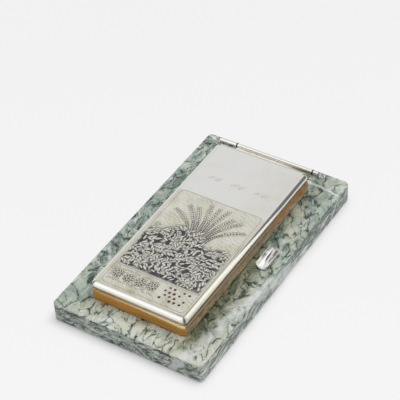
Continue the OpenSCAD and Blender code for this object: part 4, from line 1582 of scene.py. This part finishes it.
@dataclass
class Cover:
    """The silver cover: a rolled edge with pinched corners round a sunk panel that carries a leaf design."""

    corner: float = 4.0
    roll: float = 3.0
    lip: float = 3.9
    lip_drop: float = 0.10
    sunk: float = 0.34
    border: float = 4.0
    rim: float = 0.6
    sheet: float = 0.8
    pinch: float = 0.75
    pinch_width: float = 1.3
    # Strength of the warm painted reflection on the right side and on the whole rolled edge.
    side_tint: float = 0.06
    front_tint: float = 0.03
    fine: float = 0.32
    coarse: float = 0.8
    worked_top: float = 26.0
    half_field: float = 33.0
    leaves_front: float = -56.5
    rosettes: tuple[float, ...] = (-26.0, -17.0, -8.0, 1.0)
    rosette_row: float = -67.5
    dot_rows: tuple[float, ...] = (-73.0, -69.4, -65.8, -62.2)
    front_line: float = -58.6
    frame_size: tuple[float, float] = (66.4, 104.6)
    frame_corner: float = 3.5
    frame_middle: float = -26.0
    plain_line: float = 35.5
    sprigs: tuple[float, ...] = (-19.0, 0.0, 19.0)
    sprig_row: float = 46.0
    seed: int = 7

    def build(self) -> None:
        """Makes the rolled edge and the panel as one piece."""
        box = Box.of("silver_cover")
        skin = self.rolled_edge(box).joined(self.panel(box))
        make_piece("silver_skin", skin, "lid", Finish.WORKED_SILVER, ("silver_cover",))

    def worked(self, along: np.ndarray) -> np.ndarray:
        """Share of the worked field at places along the lid, 1 in it and 0 on the plain part behind it."""
        return smooth_step(self.worked_top + 0.5, self.worked_top - 1.0, along)

    def rolled_edge(self, box: Box) -> Surface:
        """Rolled edge: a profile that is carried round the outline.

        It starts under the lip beside the panel and follows the sheet's inner face round a half circle to the
        rim. From there it follows the outer face back over the crest to the lip, where an upright wall closes
        it. Each corner is pinched: points near its middle move in by a bell curve.

        Args:
            box: Box of the cover.

        Returns:
            The closed surface, with its painted shade and painted reflection.
        """
        low, high, middle = box.low[2], box.high[2], box.centre[2]
        outline, normals = rounded_outline(box.size[0], box.size[1], self.corner, 16, 2.0)
        crest = np.linspace(self.roll, self.lip, 6)[1:]
        fall = high - self.lip_drop * ((crest - self.roll) / (self.lip - self.roll)) ** 2
        profile = np.concatenate(
            [
                [(self.lip, high - self.sheet)],
                arc_profile((self.roll, middle), self.roll - self.sheet, 90, -90, 6),
                [(self.roll + self.rim, low + self.sheet), (self.roll + self.rim, low)],
                arc_profile((self.roll, middle), self.roll, -90, 90, 20),
                np.stack([crest, fall], axis=1),
            ]
        )
        rings = inset_rings(outline, normals, profile)
        diagonal = np.abs(normals[:, 0] * normals[:, 1]) * 2.0
        arc = self.corner * np.arccos(np.clip(diagonal, 0.0, 1.0)) / 2.0
        bell = np.exp(-((arc / self.pinch_width) ** 2)) * (diagonal > 1e-6)
        open_side = smooth_step(-0.9, 0.3, (profile[:, 1] - middle) / self.roll)
        outer = smooth_step(self.lip, self.roll - 0.5, profile[:, 0])
        pull = self.pinch * bell[None] * (open_side * outer)[:, None]
        rings[:, :, :2] -= pull[..., None] * normals[None]
        rings[:, :, 2] -= 0.5 * pull
        rings[:, :, :2] += box.centre[:2]
        surface = lofted(rings, cap_first=False, cap_last=False)
        # The edge's painted shade and painted reflection share one attribute with the panel's oxide.
        surface.attributes = {"patina": self.edge_patina(rings, normals, profile, bell, box).ravel()}
        return surface.joined(lofted(rings[[-1, 0]], cap_first=False, cap_last=False))

    def edge_patina(
        self, rings: np.ndarray, normals: np.ndarray, profile: np.ndarray, bell: np.ndarray, box: Box
    ) -> np.ndarray:
        """Painted shade and painted reflection of the rolled edge, the greatest of these at each point.

        The roll is painted dark below its middle as a painted reflection of the stone, most of all on the
        right, and has a painted dark line at half its height at the front. A warm painted reflection lies on
        the whole edge, stronger on the right side towards the front. The inner slope is painted darker beside
        the worked field as a painted reflection, with a painted dark line at the front right, and each pinched
        corner has painted shade.

        Args:
            rings: Points of the edge, of shape (profile points, outline points, 3).
            normals: Outward normals of the outline, of shape (n, 2).
            profile: Inset and height of each ring.
            bell: Share of the pinch at each point of the outline.
            box: Box of the cover.

        Returns:
            The painted shade and reflection of each point, 0 to 1.
        """
        across, along = (rings[:, :, axis] - box.centre[axis] for axis in (0, 1))
        level = ((profile[:, 1] - box.centre[2]) / self.roll)[:, None]
        inset = profile[:, 0][:, None]
        right = smooth_step(0.2, 0.8, normals[:, 0])[None]
        front = smooth_step(-0.5, -0.9, normals[:, 1])[None]
        ahead = smooth_step(12.0, -12.0, along)
        # The terms below are painted shade and painted reflection, laid on the edge.
        under = smooth_step(-0.1, -1.0, level) * (0.42 + 0.5 * right * ahead - 0.24 * front)
        line = 0.36 * front * np.exp(-(((level - 0.02) / 0.26) ** 2))
        right_reflection_tint = self.side_tint + 0.22 * smooth_step(0.0, -75.0, along)
        dull = self.front_tint + right * right_reflection_tint * smooth_step(0.98, 0.55, level)
        inner = 0.17 * smooth_step(2.0, 2.9, inset) * self.worked(along)
        beside = np.maximum(right * smooth_step(10.0, -12.0, along), front * smooth_step(0.0, 36.0, across))
        shade_line = 0.5 * np.exp(-(((inset - 3.6) / 0.75) ** 2)) * beside
        # Painted shade in each pinched corner.
        pinched = 0.85 * bell[None] * smooth_step(-0.9, 0.3, level)
        return np.maximum.reduce(np.broadcast_arrays(under, line, dull, inner, shade_line, pinched))

    def panel(self, box: Box) -> Surface:
        """Panel: a grid of heights over the lid's plan, fine where it is worked and coarse where it is plain.

        Walls at its border and a flat underside close it.

        Args:
            box: Box of the cover.

        Returns:
            The closed surface, with its patina and rust.
        """
        half = box.size[:2] / 2 - self.lip
        u = np.linspace(-half[0], half[0], int(2 * half[0] / self.fine) + 1)
        worked = np.arange(-half[1], self.worked_top + 2.0, self.fine)
        plain = np.linspace(worked[-1], half[1], int((half[1] - worked[-1]) / self.coarse) + 1)[1:]
        v = np.concatenate([worked, plain])
        relief = Relief(u, v)
        self.draw_design(relief)
        rim = np.minimum(half[0] - np.abs(u)[None], half[1] - np.abs(v)[:, None])
        dish = smooth_step(0.0, self.border, rim)
        waves = 0.035 * np.sin(u / 9.0 + 0.6)[None] * np.cos(v / 15.0)[:, None]
        ground = -self.lip_drop - (self.sunk - self.lip_drop) * dish
        z = box.high[2] + np.minimum(ground + dish * (relief.height + waves), -0.01)
        x = np.broadcast_to(u + box.centre[0], z.shape)
        y = np.broadcast_to((v + box.centre[1])[:, None], z.shape)
        points = np.stack([x, y, z], axis=-1)
        attributes = {"patina": relief.patina.ravel(), "rust": relief.rust.ravel()}
        top = Surface(points.reshape(-1, 3), grid_faces(len(v), len(u)), attributes)
        border = np.concatenate([points[0, :-1], points[:-1, -1], points[-1, :0:-1], points[:0:-1, 0]])
        foot = np.concatenate([border[:, :2], np.full((len(border), 1), box.high[2] - self.sheet)], axis=1)
        return top.joined(lofted(np.stack([foot, border]), cap_last=False))

    def draw_design(self, relief: Relief) -> None:
        """Draws the whole design, from the ground up.

        Args:
            relief: Surface that it is drawn on.
        """
        rng = np.random.default_rng(self.seed)
        self.draw_ground(relief, rng)
        self.draw_reeds(relief, rng)
        self.draw_sprays(relief, rng)
        self.draw_border(relief, rng)
        self.draw_frame(relief)

    @staticmethod
    def hedge_top(u: np.ndarray | float) -> np.ndarray | float:
        """Upper limit of the leaves: soft hills, a sum of two sine waves."""
        return -12.0 + 5.0 * np.sin(u / 9.5 + 2.4) + 1.8 * np.sin(u / 3.1)

    @staticmethod
    def waves(relief: Relief, rng: np.random.Generator, count: int, spread: float) -> np.ndarray:
        """Soft clouds: a third of a sum of sine waves of random direction and phase.

        Args:
            relief: Surface whose grid they lie on.
            rng: Source of random numbers.
            count: Number of waves.
            spread: Standard deviation of their frequencies, in radians per millimetre.

        Returns:
            The clouds at each point of the grid.
        """
        clouds = np.zeros_like(relief.height)
        for _ in range(count):
            ax, ay, phase = rng.normal(0, spread), rng.normal(0, spread), rng.uniform(0, math.tau)
            clouds += np.sin(ax * relief.u[None] + ay * relief.v[:, None] + phase) / 3.0
        return clouds

    @staticmethod
    def gap(x: float, y: float) -> bool:
        """Whether a place is left bare of leaves: where the product of two slanted sine waves is high."""
        return math.sin(0.80 * x + 0.50 * y + 1.0) * math.sin(0.70 * y - 0.45 * x + 0.5) > 0.71

    def draw_ground(self, relief: Relief, rng: np.random.Generator) -> None:
        """Chases the ground: crossing sine waves of random slant, a warm tint inside the frame, a dark bed.

        The bed lies under the leaves, uneven in soft clouds, and thins out towards its top.

        Args:
            relief: Surface that it is drawn on.
            rng: Source of random numbers.
        """
        u, v = relief.u[None], relief.v[:, None]
        worked = self.worked(v)
        inside = smooth_step(self.half_field + 3.0, self.half_field, np.abs(u)) * worked
        strokes = np.zeros_like(relief.height)
        for _ in range(12):
            slant, pitch, phase = rng.uniform(-0.2, 1.0), rng.uniform(1.2, 3.4), rng.uniform(0, math.tau)
            bend = 2.0 * np.sin((u + 0.5 * v) / rng.uniform(9.0, 16.0) + phase)
            strokes += np.sin(math.tau * (u * math.sin(slant) + v * math.cos(slant) + bend) / pitch + phase)
        relief.height += inside * 0.008 * strokes
        clouds = self.waves(relief, rng, 10, 0.35)
        tint = 0.18 - 0.035 * smooth_step(-15.0, 8.0, v) + 0.06 * clouds + 0.018 * strokes * inside
        tint = np.clip(tint, 0.05, 0.45)
        rubbed = 0.005 + 0.06 * smooth_step(-6.0, 34.0, u) + 0.012 * clouds
        relief.patina += worked * tint + (1.0 - worked) * np.clip(rubbed, 0.0, 1.0)
        mottle = self.waves(relief, rng, 14, 1.1)
        top = smooth_step(6.0, -7.0, v - self.hedge_top(u) + 2.0 * clouds)
        bed = top * smooth_step(-58.8, -56.5, v) * smooth_step(34.0, 30.5, np.abs(u + 0.6 * mottle))
        depth = np.clip(0.93 + 0.10 * clouds + 0.18 * mottle, 0.5, 1.0)
        relief.patina = np.maximum(relief.patina, bed * depth)
        relief.height -= 0.10 * bed

    def draw_reeds(self, relief: Relief, rng: np.random.Generator) -> None:
        """Draws nine curved stems with paired seeds, fanned out over the leaves.

        Args:
            relief: Surface that it is drawn on.
            rng: Source of random numbers.
        """
        for index, lean in enumerate(np.linspace(-1.0, 1.0, 9)):
            share = np.linspace(0.0, 1.0, 17)
            reach = 34.0 - 8.0 * abs(lean) ** 1.5 + (2.0 if index % 2 else -1.0)
            x = 2.0 + 8.0 * lean + lean * (4.0 * share + 15.0 * share**2)
            y = -14.0 + reach * share - 5.0 * abs(lean) * share**2
            path = np.stack([x, y], axis=1)
            relief.line(path, 1.0, 0.24, 0.02, 0.8)
            for step in range(9, 17):
                dx, dy = path[step] - path[step - 1]
                turn = math.atan2(dy, dx)
                size = 1.0 - 0.05 * abs(step - 12)
                for side in (-1, 1):
                    out = turn + side * math.pi / 2
                    cx = x[step] + 0.85 * math.cos(out) + 0.5 * dx
                    cy = y[step] + 0.85 * math.sin(out) + 0.5 * dy
                    tip = turn + 0.45 * side + rng.normal(0, 0.06)
                    relief.leaf(cx, cy, tip, 3.1 * size, 1.5 * size, 0.22, 0.02, 0.85)

    def draw_sprays(self, relief: Relief, rng: np.random.Generator) -> None:
        """Fills the hedge: single leaves in every direction, and over them curved sprays with paired leaves.

        Args:
            relief: Surface that it is drawn on.
            rng: Source of random numbers.
        """
        for y in np.arange(-57.0, 2.0, 3.1):
            for x in np.arange(-33.0, 33.5, 3.3):
                turn = 0.9 * math.sin(x / 6.0) + 0.8 * math.cos(y / 5.0) + rng.normal(0, 0.7)
                cx, cy = x + rng.uniform(-0.9, 0.9), y + rng.uniform(-0.9, 0.9)
                if abs(cx) >= self.half_field - 2.0 or cy <= self.leaves_front + 0.5:
                    continue
                if cy >= self.hedge_top(cx) + rng.uniform(-3.0, 3.0) or self.gap(cx, cy):
                    continue
                size = rng.uniform(0.8, 1.15)
                relief.leaf(cx, cy, turn, 5.0 * size, 1.8 * size, 0.16, rng.uniform(0.0, 0.16), 0.9)
        for row, y in enumerate(np.arange(-5.0, -62.0, -5.6)):
            for x in np.arange(-38.0 + 6.0 * (row % 2), 35.0, 12.0):
                px, py = x + rng.uniform(-1.2, 1.2), y + rng.uniform(-1.0, 1.0)
                heading = 0.35 + 0.75 * math.sin(px / 7.0 + 0.5 * row) + rng.normal(0, 0.2)
                curl = rng.uniform(-0.14, 0.14)
                for step in range(4):
                    px += 2.3 * math.cos(heading)
                    py += 2.3 * math.sin(heading)
                    heading += curl
                    size = rng.uniform(0.85, 1.1) * (1.0 - 0.07 * step)
                    for side in (-1, 1):
                        self.spray_leaf(relief, rng, px, py, heading, side, size)

    def spray_leaf(
        self,
        relief: Relief,
        rng: np.random.Generator,
        x: float,
        y: float,
        heading: float,
        side: int,
        size: float,
    ) -> None:
        """Draws one leaf of a spray, unless it would leave the hedge.

        Args:
            relief: Surface that it is drawn on.
            rng: Source of random numbers.
            x: Place on the stem, across the lid.
            y: Place on the stem, along the lid.
            heading: Direction of the stem, in radians.
            side: 1 for the stem's left side, -1 for its right.
            size: Size against the usual leaf.
        """
        turn = heading + side * rng.uniform(0.5, 0.85)
        length = size * rng.uniform(4.2, 5.5)
        cx, cy = x + 0.55 * length * math.cos(turn), y + 0.55 * length * math.sin(turn)
        if abs(cx) > self.half_field - 0.3 * length or cy < self.leaves_front:
            return
        if cy > self.hedge_top(cx) + rng.uniform(-1.0, 2.5) or self.gap(cx, cy):
            return
        width, rise, skin = size * rng.uniform(1.5, 2.0), rng.uniform(0.2, 0.3), rng.uniform(0.0, 0.07)
        relief.leaf(cx, cy, turn, length, width, rise, skin, 0.9)

    def draw_border(self, relief: Relief, rng: np.random.Generator) -> None:
        """Draws the border at the front: a raised line, small rosettes, and punched dots with a red stain.

        Args:
            relief: Surface that it is drawn on.
            rng: Source of random numbers.
        """
        end = self.half_field - 0.5
        relief.line(np.array([(-end, self.front_line), (end, self.front_line)]), 0.8, 0.16, 0.04, 0.6)
        for y in np.arange(-73.5, -60.5, 2.9):
            for x in np.arange(-31.0, 6.5, 2.7):
                turn = rng.uniform(0.0, math.tau)
                relief.leaf(x + rng.normal(0, 0.5), y + rng.normal(0, 0.5), turn, 2.7, 1.1, 0.08, 0.1, 0.7)
        for x in self.rosettes:
            middle = self.rosette_row + rng.normal(0, 0.4)
            relief.dot(x, middle, 4.0, -0.06, 0.85)
            for ring, (count, reach) in enumerate(((9, 3.1), (6, 1.5))):
                for petal in range(count):
                    turn = math.tau * petal / count + 0.3 * ring + 0.2 * x
                    cx, cy = x + reach * math.cos(turn), middle + reach * math.sin(turn)
                    relief.leaf(cx, cy, turn, 2.5, 1.4, 0.14, rng.uniform(0.0, 0.2), 0.9)
            relief.dot(x, middle, 0.55, 0.1, 0.3)
        for row, y in enumerate(self.dot_rows):
            for x in np.arange(11.0 + 1.9 * (row % 2), 30.0, 3.8):
                if rng.uniform() < 0.2:
                    continue
                size = rng.uniform(0.85, 1.2)
                relief.dot(x + rng.normal(0, 0.2), y + rng.normal(0, 0.2), size, -0.14, 0.95, 0.75)

    def draw_frame(self, relief: Relief) -> None:
        """Draws the frame line round the worked field, a plain line behind it, and three small leaf sprigs.

        Args:
            relief: Surface that it is drawn on.
        """
        outline, _ = rounded_outline(*self.frame_size, self.frame_corner, 6, 6.0)
        path = np.concatenate([outline, outline[:1]]) + (0.0, self.frame_middle)
        relief.line(path, 0.5, -0.10, 0.55)
        end = self.half_field + 1.0
        relief.line(np.array([(-end, self.plain_line), (end, self.plain_line)]), 0.35, -0.05, 0.5)
        bow = np.linspace(0.0, 1.0, 9)
        for x in self.sprigs:
            rise = self.sprig_row + 1.6 * np.sin(math.pi * bow)
            relief.line(np.stack([x - 5.0 + 10.0 * bow, rise], axis=1), 0.4, -0.05, 0.55)
            for offset, side in ((-2.6, 1), (0.2, -1), (2.6, 1)):
                height = self.sprig_row + 1.2 + side * 1.9 * np.sin(0.75 * math.pi * bow)
                relief.line(np.stack([x + offset + 3.0 * bow, height], axis=1), 0.35, -0.045, 0.5)


# Felt inside and under the lid


@dataclass
class LidFelts:
    """Felt lining of the lid and the four dots under its frame."""

    corner: float = 0.6
    ease: float = 0.25
    dot_radius: float = 2.5
    dot_ease: float = 0.15

    def build(self) -> None:
        """Makes the lining and the dots."""
        box = Box.of("lid_lining")
        width, length = box.size[:2]
        felt = soft_block(width, length, 0.0, box.size[2], self.corner, self.ease)
        felt = felt.moved((*box.centre[:2], box.low[2]))
        piece = make_piece("lining_sheet", felt, "lid", Finish.LINING, ("lid_lining",))
        self.build_dots()

    def build_dots(self) -> None:
        """Makes the four dots at the corners of the box of their node."""
        box = Box.of("lid_bumpers")
        dot = cylinder_grid(self.dot_radius, 0.0, box.size[2], self.dot_ease)
        dots = [
            dot.moved((x, y, box.low[2]))
            for x in (box.low[0] + self.dot_radius, box.high[0] - self.dot_radius)
            for y in (box.low[1] + self.dot_radius, box.high[1] - self.dot_radius)
        ]
        felt = dots[0].joined(*dots[1:])
        piece = make_piece("frame_dots", felt, "lid", Finish.BASE_FELT, ("lid_bumpers",))


# The pad


@dataclass
class Pad:
    """The block of sheets and its cloth binding."""

    leaves: int = 24
    stray: float = 0.12
    corner: float = 0.3
    tape: float = 0.3
    fold: float = 0.5
    ripple: float = 0.02
    seed: int = 3

    def build(self) -> None:
        """Makes the sheets and the binding."""
        self.build_sheets()
        self.build_binding()

    def build_sheets(self) -> None:
        """Makes the block as thin stacked leaves, each a little out of line with the next."""
        box = Box.of("pad_sheets")
        rng = np.random.default_rng(self.seed)
        step = box.size[2] / self.leaves
        width = box.size[0] - 2 * self.stray
        stack = []
        for index in range(self.leaves):
            trim = rng.uniform(0.0, self.stray, 2)
            leaf = soft_block(width, box.size[1] - trim[1], 0.0, step, self.corner, step * 0.22, 0.1)
            x, y = box.centre[0] + trim[0] - self.stray / 2, box.centre[1] + trim[1] / 2
            stack.append(leaf.moved((x, y, box.low[2] + index * step)))
        block = stack[0].joined(*stack[1:])
        make_piece("pad_leaves", block, "base", Finish.SHEETS, ("pad_sheets",))

    def build_binding(self) -> None:
        """Makes the tape: an L profile with a rounded fold, carried across the pad, with sine ripples."""
        box = Box.of("pad_binding")
        top, rear = box.high[2], box.high[1]
        angle = np.radians(np.linspace(90, 0, 6))
        flat = np.stack([np.linspace(box.low[1], rear - self.fold, 12), np.full(12, top)], axis=1)
        bend = np.array([rear, top]) + self.fold * (np.stack([np.cos(angle), np.sin(angle)], axis=1) - 1)
        within = (rear - self.tape, top - self.tape)
        inner = [(within[0], box.low[2]), within, (box.low[1], within[1])]
        section = np.concatenate([flat, bend, [(rear, box.low[2])], inner])[::-1]
        x = np.linspace(box.low[0], box.high[0], 60)
        across = np.repeat(x[:, None, None], len(section), axis=1)
        rings = np.concatenate([across, np.repeat(section[None], len(x), axis=0)], axis=2)
        rings[:, :, 2] += self.ripple * np.sin(rings[:, :, 0] * 2.3) * (rings[:, :, 2] > top - 0.1)
        tape = lofted(rings)
        piece = make_piece("pad_tape", tape, "base", Finish.CLOTH, ("pad_binding",), smooth=False)


# The pen rest


@dataclass
class PenRest:
    """Open half-tube with rounded lips on a narrow saddle."""

    wall: float = 0.8
    lift: float = 0.25
    saddle: tuple[float, float] = (4.0, 12.0)
    ends: tuple[tuple[float, float], ...] = ((0.0, 0.16), (0.05, 0.06), (0.16, 0.0))

    def build(self) -> None:
        """Makes the half-tube and its saddle as one piece.

        The tube is its section carried along Y. Near both ends the wall shrinks towards its middle, by the
        pairs of distance and depth in ends.
        """
        box = Box.of("pen_rest")
        radius = box.size[0] / 2
        axis = np.array([box.centre[0], box.high[2]])
        section = self.section(radius)
        ends = np.array(self.ends)
        y = np.concatenate([box.low[1] + ends[:, 0], box.high[1] - ends[::-1, 0]])
        shrink = 1.0 - 2.0 * np.concatenate([ends[:, 1], ends[::-1, 1]]) / self.wall
        angle = np.arctan2(section[:, 1], section[:, 0])
        spine = (radius - self.wall / 2) * np.stack([np.cos(angle), np.sin(angle)], axis=1)
        rings = np.empty((len(y), len(section), 3))
        rings[..., ::2] = axis + spine + (section - spine) * shrink[:, None, None]
        rings[..., 1] = y[:, None]
        tube = lofted(rings)
        tube.faces = [face[::-1] for face in tube.faces]
        saddle = soft_block(*self.saddle, 0.0, self.lift + 0.5, 0.4, 0.08, 0.1)
        both = tube.joined(saddle.moved((axis[0], box.centre[1], box.low[2])))
        make_piece("rest_tube", both, "base", Finish.REST_SILVER, ("pen_rest",))

    def section(self, radius: float) -> np.ndarray:
        """Section of the half-tube: outer and inner half circles joined by round lips, anticlockwise.

        Args:
            radius: Radius of the outer half circle.

        Returns:
            Points of shape (n, 2), from the tube's axis.
        """
        half = self.wall / 2
        middle = np.array([radius - half, 0.0])
        turn = np.radians(np.linspace(180, 360, 49))
        bowl = np.stack([np.cos(turn), np.sin(turn)], axis=1)
        turn = np.radians(np.linspace(0, 180, 7))[1:-1]
        lip = np.stack([half * np.cos(turn), 0.6 * half * np.sin(turn)], axis=1)
        return np.concatenate([radius * bowl, lip + middle, (radius - self.wall) * bowl[::-1], lip - middle])


# Pieces that stay as the CAD made them


class KeptNodes:
    """CAD nodes whose shape is right: they only get their finish."""

    @staticmethod
    def build() -> None:
        """Dresses the wood, the hinge, the tray, the card and the fasteners."""
        finishes: dict[Finish, tuple[str, ...]] = {
            Finish.WOOD_ACROSS: ("lid_front_rail", "lid_rear_rail"),
            Finish.WOOD_ALONG: ("lid_left_rail", "lid_right_rail"),
            Finish.BOARD: ("lid_board",),
            Finish.SILVER: ("hinge_left_barrel", "hinge_right_barrel"),
            Finish.LEAF: ("lid_leaf",),
            Finish.STEEL: (
                "hinge_pin", "lug_screws", "tray_screws", "leaf_screws",
                "frame_screws", "rest_stud", "rest_washer", "rest_nut",
            ),
            Finish.BRASS: ("pad_tray",),
            Finish.CARD: ("pad_backing",),
            Finish.NYLON: ("screw_plugs",),
            Finish.FIBRE: ("hinge_washers",),
        }
        for finish, nodes in finishes.items():
            for node in nodes:
                dress(node, finish)


# Studio and camera


@dataclass(frozen=True)
class Glow:
    """Part of the room that reflections show brighter or darker, round one direction."""

    way: Triple
    edge: float
    core: float
    amount: float


@dataclass(frozen=True)
class Card:
    """Upright card that only reflections see: corners as (x, z) and place y, in metres, and its light."""

    name: str
    corners: tuple[tuple[float, float], ...]
    place: float
    light: float


@dataclass
class Studio:
    """Pale floor, plain room light, one soft lamp, and what polished metal sees of the room."""

    floor_colour: Colour = (0.88, 0.88, 0.88)
    floor_seen: float = 0.903
    floor_slope: Triple = (4.3e-5, -6.2e-5, 0.0)
    floor_least: float = 0.88
    floor_most: float = 0.93
    shadow_reach: float = 10.0
    plain_near: float = 0.28
    plain_far: float = 0.93
    floor_reach: float = 4.0
    room_low: float = 0.29
    room_high: float = 0.82
    seen_room: float = 0.93
    seen_least: float = 0.16
    glows: tuple[Glow, ...] = (
        Glow((-0.42, -0.50, 0.75), 0.74, 0.93, 0.44),
        Glow((0.17, 0.61, 0.775), 0.93, 0.985, -0.40),
        Glow((0.50, 0.61, 0.60), 0.86, 0.95, -0.58),
        Glow((0.80, 0.59, 0.10), 0.84, 0.95, -0.48),
        Glow((-0.42, 0.86, 0.28), 0.93, 0.985, -0.34),
    )
    lamp_way: Triple = (0.20, 0.22, 0.95)
    lamp_strength: float = 1.95
    lamp_angle: float = 62.0
    cards: tuple[Card, ...] = (
        Card(
            "card_right",
            (
                (0.062, 0.024), (0.32, 0.024), (0.32, 0.30), (-0.045, 0.30),
                (0.051, 0.137), (0.083, 0.112), (0.090, 0.073), (0.078, 0.050),
            ),
            0.062,
            1.08,
        ),
    )

    def build(self) -> None:
        """Makes the floor, the room light, the lamp and the cards."""
        self.build_floor()
        self.build_room()
        self.build_lamp()
        for card in self.cards:
            self.build_card(card)

    def build_floor(self) -> None:
        """Makes the floor, a large flat sheet at the level that the holder stands on."""
        reach = self.floor_reach
        corners = np.array([(-reach, -reach, 0), (reach, -reach, 0), (reach, reach, 0), (-reach, reach, 0)])
        mesh = bpy.data.meshes.new("floor")
        mesh.from_pydata(corners.tolist(), [], [(0, 1, 2, 3)])
        floor = placed("floor", mesh)
        mesh.materials.append(self.floor_paint())

    def floor_paint(self) -> bpy.types.Material:
        """Paint of the floor: matt, and for the camera and reflections partly a plain pale tone.

        The tone slopes a little across the floor, between two limits. Its share rises with the distance from
        the slab, so that the shadow is short and soft.

        Returns:
            The material.
        """
        graph = NodeGraph.named("floor_paint")
        mm = graph.millimetres()
        level = graph.plus(graph.dot(mm, self.floor_slope), self.floor_seen)
        level = graph.within(level, self.floor_least, self.floor_most)
        path = graph.node("ShaderNodeLightPath").outputs
        seen = graph.higher(path["Is Camera Ray"], path["Is Glossy Ray"], path["Is Transmission Ray"])
        across = graph.calc("ABSOLUTE", graph.dot(mm, X_AXIS))
        along = graph.calc("ABSOLUTE", graph.dot(mm, Y_AXIS))
        half_width, half_length = (float(v) for v in Box.of("marble_slab").size[:2] / 2)
        away = graph.higher(graph.minus(across, half_width), graph.minus(along, half_length))
        share = graph.rise(away, 0.0, self.shadow_reach, self.plain_near, self.plain_far)
        matt = graph.node("ShaderNodeBsdfDiffuse", Color=self.floor_colour)
        plain = graph.node("ShaderNodeEmission", Strength=level)
        both = graph.node("ShaderNodeMixShader")
        for value, socket in zip((graph.times(seen, share), matt.outputs[0], plain.outputs[0]), both.inputs):
            graph.feed(value, socket)
        return graph.output(both.outputs[0])

    def build_room(self) -> None:
        """Makes the room light.

        Its level rises from room_low at the horizon to room_high overhead with the square of the height. For
        reflections it is another level, with glows.
        """
        world = bpy.data.worlds.new("room")
        bpy.context.scene.world = world
        graph = NodeGraph(world)
        way = graph.node("ShaderNodeTexCoord").outputs["Generated"]
        seen: Value = self.seen_room
        for glow in self.glows:
            near = graph.dot(way, Vector(glow.way).normalized()[:])
            seen = graph.plus(seen, graph.rise(near, glow.edge, glow.core, 0.0, glow.amount))
        seen = graph.higher(seen, self.seen_least)
        glossy = graph.node("ShaderNodeLightPath").outputs["Is Glossy Ray"]
        height = graph.dot(way, Z_AXIS)
        rising = graph.times(height, height, self.room_high - self.room_low)
        room = graph.plus(rising, self.room_low)
        level = graph.plus(room, graph.times(glossy, graph.minus(seen, room)))
        graph.output(graph.node("ShaderNodeBackground", Strength=level).outputs[0])

    def build_lamp(self) -> None:
        """Makes the soft lamp that gives the shadow; reflections don't show it."""
        data = bpy.data.lights.new("soft_lamp", "SUN")
        data.energy = self.lamp_strength
        data.angle = math.radians(self.lamp_angle)
        lamp = placed("soft_lamp", data)
        lamp.rotation_mode = "QUATERNION"
        lamp.rotation_quaternion = Vector(self.lamp_way).to_track_quat("Z", "Y")
        lamp.visible_glossy = False

    @staticmethod
    def build_card(card: Card) -> None:
        """Makes one reflection card.

        Args:
            card: Its corners, place and light.
        """
        mesh = bpy.data.meshes.new(card.name)
        mesh.from_pydata([(x, card.place, z) for x, z in card.corners], [], [tuple(range(len(card.corners)))])
        piece = placed(card.name, mesh)
        graph = NodeGraph.named(card.name)
        glow = graph.node("ShaderNodeEmission", Strength=card.light)
        mesh.materials.append(graph.output(glow.outputs[0]))
        piece.visible_camera = piece.visible_diffuse = piece.visible_shadow = False


@dataclass(frozen=True)
class PhotoCamera:
    """Camera at the photograph's viewing angle. Azimuth 0 looks along +Y; angles are in degrees."""

    azimuth: float = 34.754
    elevation: float = 41.985
    roll: float = -4.183
    lens: float = 135.69
    sensor: float = 36.0
    distance: float = 1.1198
    aim: Triple = (-0.03648, 0.04905, 0.0)

    def build(self) -> None:
        """Makes the camera and makes it the scene's own."""
        azimuth, elevation, roll = (math.radians(a) for a in (self.azimuth, self.elevation, self.roll))
        back = Vector(
            (
                math.sin(azimuth) * math.cos(elevation),
                -math.cos(azimuth) * math.cos(elevation),
                math.sin(elevation),
            )
        )
        level = Vector((math.cos(azimuth), math.sin(azimuth), 0.0))
        upright = back.cross(level)
        right = math.cos(roll) * level + math.sin(roll) * upright
        top = -math.sin(roll) * level + math.cos(roll) * upright
        data = bpy.data.cameras.new("photo_camera")
        data.lens = self.lens
        data.sensor_width = self.sensor
        camera = placed("photo_camera", data)
        turn = Matrix((right, top, back)).transposed().to_4x4()
        camera.matrix_world = Matrix.Translation(Vector(self.aim) + back * self.distance) @ turn
        bpy.context.scene.camera = camera


def main() -> None:
    """Builds the camera, the studio and every sub-assembly in order."""
    logging.basicConfig(level=logging.INFO, format="%(name)s: %(message)s")
    bpy.context.scene.view_settings.view_transform = "Standard"
    builders: tuple[Callable[[], None], ...] = (
        PhotoCamera().build,
        Studio().build,
        KeptNodes().build,
        Slab().build,
        Cover().build,
        LidFelts().build,
        Pad().build,
        PenRest().build,
    )
    for build in builders:
        build()


if __name__ == "__main__":
    main()
